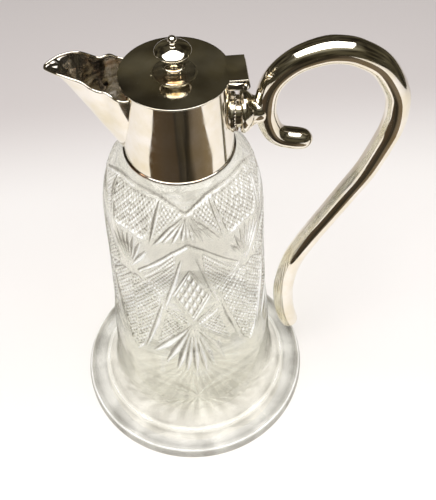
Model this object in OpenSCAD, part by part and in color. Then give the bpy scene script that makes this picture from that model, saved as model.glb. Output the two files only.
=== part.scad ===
// Claret jug: a cut-glass vessel in a sheet-metal collar with a pouring spout, a
// whiplash handle and a hinged lid. The origin is the centre of the foot, on the
// surface the jug stands on. +Z is up, the handle is towards +X, the spout towards -X.

/* [Glass vessel] */
// Radius of the foot
foot_r = 73; // [66:0.5:80]
// Height of the foot's upper edge
foot_h = 10.2; // [8.5:0.1:12]
// Radius of the wall just above the foot
base_r = 52.3; // [50:0.1:55]
// Radius of the wall at half height
belly_r = 45.7; // [44:0.1:48]
// Radius of the wall below the shoulder
upper_r = 43; // [41:0.1:45]
// Height of the shoulder's flat, where the collar stands
glass_h = 209.6; // [190:1:230]
// Thickness of the glass wall
glass_wall = 4.6; // [3.6:0.1:5.6]
// Thickness of the base under the wine
glass_base = 13; // [12:0.1:15]
// Outer radius of the neck inside the collar
neck_r = 24; // [22:0.1:24.6]
// Height of the neck above the shoulder's flat
neck_h = 10; // [7:0.1:11]
// Thickness of the neck's wall
neck_wall = 4.2; // [3:0.1:5]
// Number of broad flutes around the foot
flutes = 14; // [8:1:18]
// Height of the hollow under the foot
under_h = 1.4; // [0.8:0.1:2]
// Width of the ring that the foot stands on
stand_w = 12; // [8:0.5:16]

/* [Cutting] */
// Number of repeats of the cut pattern around the body
cut_units = 4; // [3:1:6]
// Full depth of a mitre cut
cut_depth = 1.2; // [0.8:0.05:1.5]
// Half width of a mitre cut at its full depth
cut_half_w = 1.8; // [1.2:0.1:2.4]

/* [Collar] */
// Outer radius of the collar at its lower edge
collar_r = 27.4; // [26.8:0.1:28]
// Outer radius of the collar at its mouth
mouth_r = 25.1; // [24.6:0.1:25.6]
// Height of the collar
collar_h = 44.5; // [42:0.1:48]
// Thickness of the sheet
sheet = 0.9; // [0.7:0.05:1.1]
// Radius of the half-round wire around the lower edge
wire_r = 0.8; // [0.5:0.05:1.1]

/* [Spout] */
// Distance of the spout's tip from the jug's axis
spout_reach = 56.8; // [52:0.1:60]
// Height of the spout's tip above the collar's mouth
spout_rise = 9.2; // [7:0.1:11]
// Half width of the spout at the collar
spout_half_w = 15.6; // [14:0.1:16.4]
// Height of the keel's foot above the collar's lower edge
keel_z = 1.9; // [1.6:0.1:5]
// Thickness of the spout's wall
spout_wall = 1.1; // [0.8:0.05:1.4]
// Height of the moulding along the spout's rim
rim_h = 1.0; // [0.7:0.05:1.4]
// How far that moulding stands out
rim_out = 0.4; // [0.2:0.05:0.7]

/* [Lid] */
// Radius of the lid plate
lid_r = 25.9; // [25.5:0.1:26.6]
// Thickness of the lid plate
lid_t = 0.9; // [0.7:0.05:1.2]
// Width of the tab over the hinge
tab_w = 18.3; // [15:0.1:20]
// Distance of the tab's end from the jug's axis
tab_reach = 32.7; // [32.3:0.1:33.2]
// Depth of the ring under the lid
bezel_h = 3.4; // [2.4:0.1:4.4]
// Gap between that ring and the collar
bezel_gap = 0.7; // [0.5:0.05:1.0]
// Radius of the turned disc under the finial
boss_r = 10.7; // [9.5:0.1:12]
// Thickness of the turned disc
boss_t = 0.35; // [0.25:0.05:0.6]

/* [Hinge] */
// Distance of the hinge pin from the jug's axis
pin_x = 31.5; // [31.2:0.1:32]
// Depth of the pin's axis below the lid plate
pin_drop = 2.8; // [2.6:0.1:3.2]
// Radius of the hinge pin
pin_r = 0.9; // [0.7:0.05:1.1]
// Radius of the knuckles
knuckle_r = 2.1; // [1.8:0.05:2.3]
// Width of the lid's knuckle
knuckle_w = 7; // [5:0.1:9]
// Gap at each side of the lid's knuckle
knuckle_gap = 0.25; // [0.15:0.05:0.4]
// Radius of the pin's domed heads
pin_head_r = 1.4; // [1.2:0.05:1.7]

/* [Finial] */
// Radius of the flared foot
flare_r = 5.5; // [4.5:0.1:6.5]
// Height of the flared foot's widest edge above the turned disc
flare_z = 4; // [3:0.1:4.6]
// Radius of the stem
stem_r = 1.9; // [1.6:0.05:2.5]
// Height of the cap's lower edge above the lid
cap_z = 10.4; // [9.8:0.1:12]
// Radius of the cap
cap_r = 8.4; // [7.5:0.1:9.5]
// Height of the cap
cap_h = 5.2; // [4:0.1:6]
// Radius of the ball
ball_r = 2.1; // [1.7:0.05:2.5]
// Radius of the finial's stud
stud_r = 1.2; // [1:0.05:1.4]

/* [Handle] */
// Height of the handle's socket above the collar's lower edge
socket_h = 19.5; // [19:0.1:22]
// Radius of the backplate
plate_r = 10; // [9.4:0.1:10.6]
// Thickness of the backplate
plate_t = 0.9; // [0.6:0.05:1.2]
// Radius of the knop
knop_r = 10.8; // [10:0.1:11.5]
// Radius of the ferrule's waist
ferrule_r = 7; // [6.4:0.1:7.6]
// Distance of the handle's first upright from the jug's axis
upright_x = 42.2; // [41.6:0.1:43]
// Width of the handle from that upright to its outermost bend
handle_span = 64.9; // [58:0.1:70]
// Rise of the handle's top above the socket
handle_rise = 31.9; // [29:0.1:36]
// Drop of the handle's free end below the socket
handle_drop = 189.6; // [176:0.2:194]
// Radius of the handle at its top
handle_r = 6.5; // [6:0.1:7]
// Radius of the handle at the upright
upright_r = 5.35; // [5:0.05:5.6]

/* [Hidden] */

$fn = 96;
eps = 0.01;

// Radial clearance of the lid's knuckle on the pin, and of the pin in the fixed knuckles
run_fit = 0.05;
hold_fit = 0.02;
// Clearance of the finial's stud in the lid
stud_fit = 0.1;
// Solder between two parts, and the mortar's gap around the bedding
seam = 0.03;

seat_z = glass_h;
mouth_z = seat_z + collar_h;
lid_z = mouth_z + lid_t;
boss_z = lid_z + boss_t;
pin_z = mouth_z - pin_drop;
socket_z = seat_z + socket_h;

// Outer radius of the collar at a height
function collar_at(z) = collar_r + (mouth_r - collar_r) * (z - seat_z) / collar_h;

// A smooth curve through points of any dimension, with n steps for each stretch
function spline(a, b, c, d, u) =
    b + 0.5 * u * ((c - a) + u * ((2 * a - 5 * b + 4 * c - d) + u * (3 * (b - c) + d - a)));
function on_curve(p, t) =
    let (last = len(p) - 1, i = min(floor(t), last - 1))
    spline(p[max(i - 1, 0)], p[i], p[i + 1], p[min(i + 2, last)], t - i);
// A point's first two numbers
function flat2(p) = [p[0], p[1]];
function curve(p, n) = [for (k = [0 : n * (len(p) - 1)]) on_curve(p, k / n)];

// Triangles between two closed rings of m points that start at index a and b
function band(a, b, m) =
    [for (k = [0 : m - 1], half = [0, 1]) let (n = (k + 1) % m)
        half == 0 ? [a + k, b + k, b + n] : [a + k, b + n, a + n]];

// A closed skin over a list of rings with as many points each
module skin(rings) {
    m = len(rings[0]);
    last = len(rings) - 1;
    first_cap = [for (k = [0 : m - 1]) k];
    last_cap = [for (k = [m - 1 : -1 : 0]) last * m + k];
    polyhedron(
        points = [for (r = rings) each r],
        faces = concat([first_cap], [for (i = [0 : last - 1]) each band(i * m, (i + 1) * m, m)],
                       [last_cap]),
        convexity = 6);
}

// Glass vessel
shoulder_r = neck_r + 4.2;
foot_edge = 2.4;
glass_outside = concat(
    [[foot_r - stand_w, 0], [foot_r - foot_edge, 0]],
    curve([[foot_r - foot_edge, 0], [foot_r - 0.7, 0.7], [foot_r, foot_edge], [foot_r, 0.6 * foot_h],
           [foot_r - 1.1, foot_h - 0.9], [foot_r - 2.3, foot_h]], 3),
    curve([[foot_r - 2.3, foot_h], [0.5 * (foot_r + base_r), foot_h + 2.1], [base_r + 4, foot_h + 4.6],
           [base_r, foot_h + 12], [base_r - 2.2, 0.19 * glass_h], [belly_r + 2.4, 0.34 * glass_h],
           [belly_r, 0.49 * glass_h], [upper_r + 1.2, 0.63 * glass_h], [upper_r, 0.79 * glass_h],
           [upper_r - 0.9, 0.85 * glass_h], [upper_r - 3, 0.9 * glass_h],
           [upper_r - 5.8, 0.946 * glass_h], [shoulder_r + 3.6, 0.985 * glass_h],
           [shoulder_r, glass_h]], 3));
glass_inside = curve(
    [[neck_r - neck_wall, glass_h + neck_h], [neck_r - neck_wall, glass_h + 1],
     [neck_r - neck_wall + 1.6, glass_h - 6], [upper_r - 11, 0.935 * glass_h],
     [upper_r - 7, 0.885 * glass_h], [upper_r - glass_wall, 0.78 * glass_h],
     [upper_r + 1.2 - glass_wall, 0.63 * glass_h], [belly_r - glass_wall, 0.49 * glass_h],
     [belly_r + 2.4 - glass_wall, 0.34 * glass_h], [base_r - 2.2 - glass_wall, 0.19 * glass_h],
     [base_r - 3 - glass_wall, glass_base + 12], [base_r - 8 - glass_wall, glass_base + 2.6],
     [base_r - 18 - glass_wall, glass_base]], 3);

// One broad flute is a slanted plane cut across the foot's upper side
module foot_flute() {
    chord = 2 * foot_r * tan(180 / flutes);
    translate([foot_r - 2.9, -chord, foot_h - 0.45])
        rotate([0, 8.5, 0])
            translate([-9, 0, 0])
                cube([14, 2 * chord, 6]);
}

// Main mitre cuts of the pattern. Each point is the share of the half unit from its middle,
// the share of the glass's height and the share of the full depth. Those in the first list
// are cut in both halves, those in the second run along the middle or the edge of a unit.
paired_cuts = [
    [[0.00, 0.948, 0.5], [0.27, 0.910, 0.8], [0.56, 0.852, -0.1]],
    [[0.00, 0.946, 0.3], [0.12, 0.907, 0.8], [0.24, 0.868, -0.1]],
    [[0.00, 0.863, 0.7], [0.26, 0.836, 0.8], [0.57, 0.782, 0.8], [0.83, 0.740, 0.4]],
    [[0.10, 0.826, -0.1], [0.26, 0.722, 1.0], [0.43, 0.618, -0.1]],
    [[0.01, 0.773, 0.4], [0.30, 0.670, 0.7], [0.01, 0.567, 0.4]],
    [[0.99, 0.740, 0.2], [0.87, 0.797, 1.0], [0.75, 0.855, -0.1]],
    [[0.45, 0.640, -0.1], [0.64, 0.521, 1.0], [0.83, 0.403, -0.1]],
    [[0.02, 0.550, 0.3], [0.15, 0.445, 1.0], [0.30, 0.338, -0.1]],
    [[0.03, 0.551, 0.2], [0.35, 0.477, 1.0], [0.69, 0.403, -0.1]]];
single_cuts = [
    [[0, 0.945, 0.2], [0, 0.914, 0.7], [0, 0.882, -0.1]],
    [[0, 0.552, 0.2], [0, 0.439, 1.0], [0, 0.327, -0.1]],
    [[1, 0.740, 0.2], [1, 0.803, 1.0], [1, 0.866, -0.1]]];
glass_radii = [for (p = glass_outside) if (p[1] > foot_h) [p[1], p[0]]];
// How far a groove's cutter runs past its ends
groove_over = 0.1;

// The bottom of a cut at one of its points
function ridge_point(p) =
    let (turn = p[0] * 180 / cut_units, z = p[1] * glass_h,
         r = lookup(z, glass_radii) - p[2] * cut_depth)
    [r * cos(turn), r * sin(turn), z];

// One V-shaped groove with its bottom from a to b, open away from the axis
module groove(a, b) {
    run = b - a;
    ahead = run / norm(run);
    level = [a[0] + b[0], a[1] + b[1], 0];
    lean = level - ahead * (level * ahead);
    out = lean / norm(lean);
    side = cross(out, ahead);
    multmatrix([[ahead[0], side[0], out[0], a[0]], [ahead[1], side[1], out[1], a[1]],
                [ahead[2], side[2], out[2], a[2]], [0, 0, 0, 1]])
        translate([-groove_over, 0, 0])
            rotate([90, 0, 90])
                linear_extrude(norm(run) + 2 * groove_over)
                    polygon([[0, 0], [2.5 * cut_half_w, 2.5 * cut_depth],
                             [-2.5 * cut_half_w, 2.5 * cut_depth]]);
}
module mitre_cuts(lines) {
    for (line = lines, k = [0 : len(line) - 2])
        groove(ridge_point(line[k]), ridge_point(line[k + 1]));
}
module cut_pattern() {
    for (i = [0 : cut_units - 1])
        rotate([0, 0, i * 360 / cut_units - 90]) {
            mitre_cuts(single_cuts);
            mitre_cuts(paired_cuts);
            mirror([0, 1, 0])
                mitre_cuts(paired_cuts);
        }
}

module glass_body() {
    color("gainsboro", 0.5)
        difference() {
            rotate_extrude()
                polygon(concat(
                    [[0, under_h], [foot_r - stand_w - 1.5, under_h]],
                    glass_outside,
                    [[shoulder_r, glass_h + eps], [neck_r, glass_h + eps],
                     [neck_r, glass_h + neck_h]],
                    glass_inside,
                    [[0, glass_base]]));
            for (i = [0 : flutes - 1])
                rotate([0, 0, (i + 0.5) * 360 / flutes])
                    foot_flute();
            cut_pattern();
        }
}

// Plaster between the neck and the collar
bedding_h = neck_h - 1;
bedding_low = 0.2;
module plaster_bedding() {
    color("white")
        rotate_extrude()
            polygon([
                [neck_r + seam, seat_z + bedding_low],
                [collar_at(seat_z + bedding_low) - sheet - seam, seat_z + bedding_low],
                [collar_at(seat_z + bedding_h) - sheet - seam, seat_z + bedding_h],
                [neck_r + seam, seat_z + bedding_h]]);
}

// Spout: its rim line and keel line, from the collar to the tip. Each row is the
// share of the way out, the share of the rise and the share of the half width.
rim_line = [
    [0.00, -0.13, 0.96], [0.08, -0.13, 1.00], [0.17, 0.01, 1.00], [0.235, 0.23, 0.95],
    [0.295, 0.31, 0.85], [0.355, 0.29, 0.795], [0.42, 0.39, 0.775], [0.48, 0.55, 0.75],
    [0.54, 0.74, 0.70], [0.60, 0.87, 0.665], [0.66, 0.94, 0.63], [0.72, 0.99, 0.57],
    [0.78, 1.02, 0.50], [0.845, 1.03, 0.42], [0.905, 1.01, 0.31], [0.96, 0.99, 0.20],
    [1.00, 0.97, 0.10]];
// The rim line begins where the spout's sides meet the collar
root_x = -sqrt(pow(mouth_r, 2) - pow(spout_half_w * 0.96, 2));
keel_x = -collar_r;
// Where the straight keel ends and the lip turns out
lip_turn = 0.104 * spout_reach;
lip_x = -(spout_reach - lip_turn);
lip_z = mouth_z + 0.5 * spout_rise;

function share(x) = min(max((x - root_x) / (-spout_reach - root_x), 0), 1);
function along(table, s, col, i = 0) =
    (i >= len(table) - 2 || s <= table[i + 1][0])
        ? let (u = (s - table[i][0]) / (table[i + 1][0] - table[i][0]))
          spline(table[max(i - 1, 0)][col], table[i][col], table[i + 1][col],
                 table[min(i + 2, len(table) - 1)][col], u)
        : along(table, s, col, i + 1);
function rim_z(x) = mouth_z - rim_h + spout_rise * along(rim_line, share(x), 1);
function rim_w(x) = spout_half_w * along(rim_line, share(x), 2);
function keel_at(x) =
    x > lip_x
        ? seat_z + keel_z + (lip_z - seat_z - keel_z) * (x - keel_x) / (lip_x - keel_x)
        : let (u = (x - lip_x) / (-spout_reach - lip_x))
          lip_z + (rim_z(-spout_reach) - 0.5 - lip_z) * (1 - pow(1 - u, 2.2));

// A point of the outer skin (inset 0) or the inner skin (inset 1) at x, with t from -1 to 1
section_power = 1.67;
keel_slant = 2.2;
function spout_point(x, t, inset) =
    let (depth = rim_z(x) - keel_at(x),
         floor_t = inset * min(keel_slant * spout_wall, 0.5 * depth),
         half = rim_w(x) - inset * min(spout_wall, 0.6 * rim_w(x)))
    [x, half * t,
     keel_at(x) + floor_t + (depth - floor_t) * pow(abs(t), section_power)];
// Where that line leaves the collar
function meet_x(t, inset, x = -mouth_r, turns = 12) =
    turns == 0 ? x
    : let (p = spout_point(x, t, inset))
      meet_x(t, inset, -sqrt(max(pow(collar_at(p[2]), 2) - pow(p[1], 2), 1)), turns - 1);
function spout_line(t, s, inset) =
    let (from = meet_x(t, inset), x = from + (-spout_reach - from) * s)
    spout_point(x, t, inset);

// Triangles over a grid of points, rows of n, starting at index a
function sheet_faces(rows, n, a, flip) =
    [for (i = [0 : rows - 2], j = [0 : n - 2], half = [0, 1])
        let (p = a + i * n + j, q = p + n,
             tri = half == 0 ? [p, q, q + 1] : [p, q + 1, p + 1])
        flip ? [tri[2], tri[1], tri[0]] : tri];
// Triangles between two lines of point indices
function strip(a, b, flip) =
    [for (k = [0 : len(a) - 2], half = [0, 1])
        let (tri = half == 0 ? [a[k], b[k], b[k + 1]] : [a[k], b[k + 1], a[k + 1]])
        flip ? [tri[2], tri[1], tri[0]] : tri];

// A wall between an outer and an inner grid of points
module wall(outer, inner) {
    rows = len(outer);
    n = len(outer[0]);
    o = rows * n;
    first = [for (j = [0 : n - 1]) j];
    last = [for (j = [0 : n - 1]) (rows - 1) * n + j];
    left = [for (i = [0 : rows - 1]) i * n];
    right = [for (i = [0 : rows - 1]) i * n + n - 1];
    shift = [for (line = [first, last, left, right]) [for (k = line) k + o]];
    polyhedron(
        points = concat([for (r = outer) each r], [for (r = inner) each r]),
        faces = concat(
            sheet_faces(rows, n, 0, true), sheet_faces(rows, n, o, false),
            strip(first, shift[0], false), strip(last, shift[1], true),
            strip(left, shift[2], true), strip(right, shift[3], false)),
        convexity = 6);
}

spout_cols = 12;
spout_rows = 20;
module spout() {
    ts = [for (k = [-spout_cols : spout_cols]) k / spout_cols];
    rows = [for (i = [0 : spout_rows]) i / spout_rows];
    color("silver")
        wall([for (s = rows) [for (t = ts) spout_line(t, s, 0)]],
             [for (s = rows) [for (t = ts) spout_line(t, s, 1)]]);
}

// Moulding along the rim, down the near side, round the tip and back
rim_start = 0.035;
// Solder under the moulding
rim_seam = 0.12;
module spout_rim() {
    steps = concat([rim_start], [for (i = [1 : spout_rows]) i / spout_rows]);
    near = [for (s = steps) spout_line(-1, s, 0)];
    far = [for (k = [len(steps) - 1 : -1 : 0]) spout_line(1, steps[k], 0)];
    path = concat(near, far);
    last = len(path) - 1;
    rim_in = 0.9 * spout_wall;
    color("silver")
        skin([for (i = [0 : last]) let (
                a = path[max(i - 1, 0)], b = path[min(i + 1, last)],
                run = [b[0] - a[0], b[1] - a[1]],
                side = [-run[1], run[0]] / norm(run),
                out = flat2(path[i]) + side * rim_out,
                inn = flat2(path[i]) - side * rim_in,
                z = path[i][2] + rim_seam)
            [[out[0], out[1], z], [out[0], out[1], z + rim_h],
             [inn[0], inn[1], z + rim_h], [inn[0], inn[1], z]]]);
}

// Opening in the collar behind the spout
window_z = seat_z + neck_h + 1.5;
module spout_window() {
    side = [for (k = [0 : spout_cols]) let (p = spout_line(k / spout_cols, 0, 1))
            if (p[2] > window_z) [p[1], p[2]]];
    low_y = side[0][0];
    right = concat([[low_y, window_z]], side, [[side[len(side) - 1][0], mouth_z + 1]]);
    left = [for (k = [len(right) - 1 : -1 : 0]) [-right[k][0], right[k][1]]];
    rotate([90, 0, 90])
        translate([0, 0, -2 * collar_r])
            linear_extrude(2 * collar_r - 0.3 * mouth_r)
                polygon(concat(right, left));
}

module collar() {
    color("silver")
        difference() {
            rotate_extrude()
                polygon([
                    [collar_r - sheet, seat_z + 0.05], [collar_r, seat_z + 0.05],
                    [mouth_r, mouth_z], [mouth_r - sheet, mouth_z]]);
            spout_window();
        }
}

module collar_edge_wire() {
    color("silver")
        rotate_extrude()
            intersection() {
                translate([collar_at(seat_z + wire_r), seat_z + 0.05 + wire_r])
                    circle(wire_r, $fn = 32);
                polygon([
                    [collar_at(seat_z) + seam, seat_z], [collar_r + 3 * wire_r, seat_z],
                    [collar_r + 3 * wire_r, seat_z + 4 * wire_r],
                    [collar_at(seat_z + 4 * wire_r) + seam, seat_z + 4 * wire_r]]);
            }
}

// Everything outside the collar's wall
module outside_collar(extra) {
    difference() {
        children();
        rotate_extrude()
            polygon([
                [0, seat_z - 1], [collar_at(seat_z - 1) + extra, seat_z - 1],
                [collar_at(mouth_z + 9) + extra, mouth_z + 9], [0, mouth_z + 9]]);
    }
}

// Hinge
module along_y(r, w) {
    rotate([90, 0, 0])
        cylinder(r = r, h = w, center = true);
}

bracket_t = 3.8;
module hinge_bracket() {
    slot_w = knuckle_w + 2 * knuckle_gap;
    color("silver")
        difference() {
            outside_collar(seam)
                union() {
                    translate([mouth_r - 3, -tab_w / 2, pin_z - bracket_t / 2])
                        cube([pin_x - mouth_r + 3, tab_w, bracket_t]);
                    translate([pin_x, 0, pin_z])
                        along_y(knuckle_r, tab_w);
                }
            translate([pin_x - knuckle_r - 0.5, -slot_w / 2, pin_z - knuckle_r - 1])
                cube([2 * knuckle_r + 2, slot_w, 2 * knuckle_r + 2]);
            translate([pin_x, 0, pin_z])
                along_y(pin_r + hold_fit, 2 * tab_w);
        }
}

module hinge_pin() {
    head_t = 0.6;
    color("silver")
        translate([pin_x, 0, pin_z]) {
            along_y(pin_r, tab_w);
            for (side = [-1, 1])
                translate([0, side * (tab_w + head_t) / 2, 0])
                    along_y(pin_head_r, head_t);
        }
}

module lid_knuckle() {
    color("silver")
        difference() {
            translate([pin_x, 0, pin_z])
                union() {
                    along_y(knuckle_r, knuckle_w);
                    translate([-knuckle_r + 0.4, -knuckle_w / 2, 0])
                        cube([2 * knuckle_r - 1.2, knuckle_w, pin_drop]);
                }
            translate([pin_x, 0, pin_z])
                along_y(pin_r + run_fit, 2 * knuckle_w);
        }
}

// Lid
module lid_plate() {
    color("silver")
        translate([0, 0, mouth_z])
            linear_extrude(lid_t)
                difference() {
                    union() {
                        circle(lid_r);
                        translate([0, -tab_w / 2])
                            square([tab_reach, tab_w]);
                    }
                    circle(stud_r + stud_fit, $fn = 48);
                }
}

module lid_bezel() {
    outer = collar_at(mouth_z - bezel_h) - sheet - bezel_gap;
    color("silver")
        translate([0, 0, mouth_z - bezel_h])
            difference() {
                cylinder(r = outer, h = bezel_h);
                translate([0, 0, -1])
                    cylinder(r = outer - sheet, h = bezel_h + 2);
            }
}

module lid_boss() {
    edge = 0.6 * boss_t;
    color("silver")
        rotate_extrude()
            polygon([
                [stud_r + stud_fit, lid_z], [boss_r, lid_z], [boss_r, boss_z - edge],
                [boss_r - edge, boss_z], [stud_r + stud_fit, boss_z]]);
}

// Finial
cap_low = lid_z + cap_z;
cap_top = cap_low + cap_h;
module finial_stem() {
    color("silver")
        rotate_extrude()
            polygon(concat(
                [[stud_r, boss_z], [flare_r - 1.9, boss_z]],
                curve([[flare_r - 1.9, boss_z], [flare_r - 2.3, boss_z + 0.3 * flare_z],
                       [flare_r - 1.3, boss_z + 0.7 * flare_z],
                       [flare_r, boss_z + 0.92 * flare_z],
                       [flare_r - 0.5, boss_z + 1.07 * flare_z],
                       [stem_r + 1.2, boss_z + 1.2 * flare_z],
                       [stem_r, boss_z + 1.5 * flare_z],
                       [stem_r + 0.4, cap_low - 1.4], [stem_r + 1.6, cap_low]], 4),
                [[stud_r, cap_low]]));
}

module finial_cap() {
    color("silver")
        rotate_extrude()
            polygon(concat(
                [[0, cap_low], [0.8 * cap_r, cap_low]],
                curve([[0.8 * cap_r, cap_low], [0.885 * cap_r, cap_low + 0.05 * cap_h],
                       [0.88 * cap_r, cap_low + 0.13 * cap_h]], 3),
                curve([[0.9 * cap_r, cap_low + 0.13 * cap_h], [cap_r, cap_low + 0.24 * cap_h],
                       [0.96 * cap_r, cap_low + 0.4 * cap_h], [0.78 * cap_r, cap_low + 0.62 * cap_h],
                       [0.5 * cap_r, cap_low + 0.84 * cap_h], [0.26 * cap_r, cap_low + 0.96 * cap_h],
                       [0.13 * cap_r, cap_top]], 4),
                [[0, cap_top]]));
}

module finial_ball() {
    color("silver")
        intersection() {
            translate([0, 0, cap_top + 0.8 * ball_r])
                sphere(ball_r, $fn = 64);
            translate([0, 0, cap_top + ball_r])
                cube([3 * ball_r, 3 * ball_r, 2 * ball_r], center = true);
        }
}

nut_t = 1.8;
washer_t = 0.5;
stud_low = mouth_z - washer_t - nut_t - 0.6;
module finial_stud() {
    color("peru")
        translate([0, 0, stud_low])
            cylinder(r = stud_r, h = cap_low - stud_low);
}

module finial_washer() {
    color("peru")
        translate([0, 0, mouth_z - washer_t])
            difference() {
                cylinder(r = 3.4, h = washer_t);
                translate([0, 0, -1])
                    cylinder(r = stud_r + stud_fit, h = washer_t + 2);
            }
}

module finial_nut() {
    color("peru")
        translate([0, 0, mouth_z - washer_t - nut_t])
            difference() {
                cylinder(r = 2.6, h = nut_t, $fn = 6);
                translate([0, 0, -1])
                    cylinder(r = stud_r + eps, h = nut_t + 2);
            }
}

// Handle socket: a flange with a beaded ring, both curved to the collar, and turned
// pieces on one axis that points out from it
bead_h = 1.5;
bead_w = 1.6;
bead_r = plate_r - 0.3;
socket_fit = 0.2;
// Where the knop swells out over the beaded ring, and where it ends
knop_x = collar_at(socket_z - bead_r) + plate_t + bead_h + socket_fit;
knop_w = 6.4;
ferrule_x = knop_x + knop_w;
// A dowel lines these pieces up, and its hole has this radius
dowel_r = 2;
// Clearance of the saddle that the handle is soldered into
saddle_fit = 0.12;
dowel_end = upright_x - upright_r - saddle_fit - 0.2;

module along_x(from) {
    translate([from, 0, socket_z])
        rotate([0, 90, 0])
            children();
}

// A ring on the socket's axis that follows the collar, between two distances from it
module saddle(low, high, outer_r, inner_r) {
    reach = 0.5 * collar_r;
    intersection() {
        outside_collar(low)
            along_x(collar_r - 0.6 * reach)
                difference() {
                    cylinder(r = outer_r, h = reach);
                    translate([0, 0, -1])
                        cylinder(r = inner_r, h = reach + 2);
                }
        rotate_extrude()
            polygon([
                [0, seat_z], [collar_at(seat_z) + high, seat_z],
                [collar_at(mouth_z) + high, mouth_z], [0, mouth_z]]);
    }
}

module handle_backplate() {
    color("silver")
        saddle(seam, plate_t, plate_r, dowel_r);
}

module handle_bead_ring() {
    color("silver")
        saddle(plate_t + seam, plate_t + bead_h, bead_r, bead_r - bead_w);
}

module handle_knop() {
    root_r = bead_r - bead_w - socket_fit;
    root_h = 0.3 * plate_r;
    color("silver")
        outside_collar(plate_t + seam)
            along_x(knop_x - root_h)
                rotate_extrude()
                    polygon(concat(
                        [[dowel_r, 0], [root_r, 0], [root_r, root_h]],
                        curve([[root_r, root_h], [knop_r - 0.7, root_h + 0.07 * knop_w],
                               [knop_r, root_h + 0.26 * knop_w],
                               [knop_r - 0.5, root_h + 0.52 * knop_w],
                               [knop_r - 1.9, root_h + 0.8 * knop_w],
                               [ferrule_r + 0.6, root_h + knop_w]], 4),
                        [[dowel_r, root_h + knop_w]]));
}

module handle_ferrule() {
    reach = upright_x - ferrule_x;
    color("silver")
        difference() {
            along_x(ferrule_x)
                rotate_extrude()
                    polygon(concat(
                        [[dowel_r, 0], [ferrule_r + 0.6, 0]],
                        curve([[ferrule_r + 0.6, 0], [ferrule_r, 0.2 * reach],
                               [ferrule_r - 0.3, 0.4 * reach], [ferrule_r - 0.7, 0.75 * reach],
                               [ferrule_r - 1.8, reach]], 4),
                        [[dowel_r, reach]]));
            translate([upright_x, 0, socket_z])
                cylinder(r = upright_r + saddle_fit, h = 4 * plate_r, center = true);
        }
}

module handle_dowel() {
    from = collar_at(socket_z) + 0.2;
    color("peru")
        along_x(from)
            cylinder(r = dowel_r, h = dowel_end - from);
}

// Handle: its centre line from the scroll's bud to the free end. Each row is the share
// of the span, the share of the rise (or of the drop, below the socket) and the radius.
handle_line = [
    [0.377, -0.1160, 4.9], [0.325, -0.1125, 5.4], [0.262, -0.1085, 5.6], [0.190, -0.1035, 5.6],
    [0.125, -0.0955, 5.5], [0.066, -0.0760, 5.4], [0.020, -0.0385, upright_r],
    [0.000, 0.030, upright_r],
    [0.018, 0.373, 5.5], [0.086, 0.646, 5.75], [0.217, 0.875, 6.1], [0.382, 0.994, handle_r],
    [0.505, 1.000, handle_r], [0.644, 0.918, handle_r - 0.1], [0.826, 0.661, 6.2],
    [0.966, 0.185, 6.1], [1.000, -0.0322, 6.1], [0.988, -0.0902, 6.05],
    [0.946, -0.1456, 6.0], [0.847, -0.2453, 6.0], [0.713, -0.3376, 6.0],
    [0.606, -0.4109, 6.0], [0.467, -0.5047, 6.0], [0.345, -0.5992, 6.0],
    [0.2835, -0.6704, 6.0], [0.253, -0.7442, 6.1], [0.248, -0.8075, 6.2],
    [0.271, -0.8919, 6.1], [0.314, -0.9552, 5.9], [0.363, -1.000, 5.2]];
function handle_place(p) = [
    upright_x + handle_span * p[0],
    socket_z + (p[1] > 0 ? handle_rise : handle_drop) * p[1],
    p[2]];
handle_path = [for (p = handle_line) handle_place(p)];
handle_last = len(handle_path) - 1;
// Close steps at the two ends, where the tube is rounded off
end_steps = [0, 0.04, 0.12, 0.25, 0.42, 0.6, 0.8];
handle_steps = concat(
    end_steps, [for (k = [2 : 2 * handle_last - 2]) k / 2],
    [for (k = [len(end_steps) - 1 : -1 : 0]) handle_last - end_steps[k]]);
handle_sides = 20;

function rounding(p) =
    let (a = norm(flat2(p) - flat2(handle_path[0])),
         b = norm(flat2(p) - flat2(handle_path[handle_last])),
         d = min(1, min(a, b) / p[2]))
    sqrt(max(0.01, 1 - pow(1 - d, 2)));
function handle_ring(t) =
    let (p = on_curve(handle_path, t),
         q = on_curve(handle_path, min(t + 0.02, handle_last)),
         o = on_curve(handle_path, max(t - 0.02, 0)),
         run = (flat2(q) - flat2(o)) / norm(flat2(q) - flat2(o)),
         r = p[2] * rounding(p))
    [for (k = [0 : handle_sides - 1]) let (a = 360 * k / handle_sides)
        [p[0] - run[1] * r * cos(a), -r * sin(a), p[1] + run[0] * r * cos(a)]];

module handle() {
    color("silver")
        skin([for (t = handle_steps) handle_ring(t)]);
}

glass_body();
plaster_bedding();
collar();
collar_edge_wire();
spout();
spout_rim();
hinge_bracket();
hinge_pin();
handle_backplate();
handle_bead_ring();
handle_knop();
handle_ferrule();
handle_dowel();
handle();
lid_plate();
lid_bezel();
lid_knuckle();
lid_boss();
finial_stem();
finial_cap();
finial_ball();
finial_stud();
finial_washer();
finial_nut();
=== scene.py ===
"""Looks for a cut-glass claret jug with silver-plated mounts.

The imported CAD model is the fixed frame. Sizes in the classes are in millimetres, as a
maker would write them, and turn into metres where a mesh is made. The jug stands on the
floor at the origin, with +Z up, its handle towards +X and its spout towards -X.
"""

import logging
import math
from collections.abc import Callable, Iterable
from dataclasses import dataclass, field
from enum import Enum
from functools import partial

import bmesh
import bpy
import numpy as np
from mathutils import Matrix, Vector, noise


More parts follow.
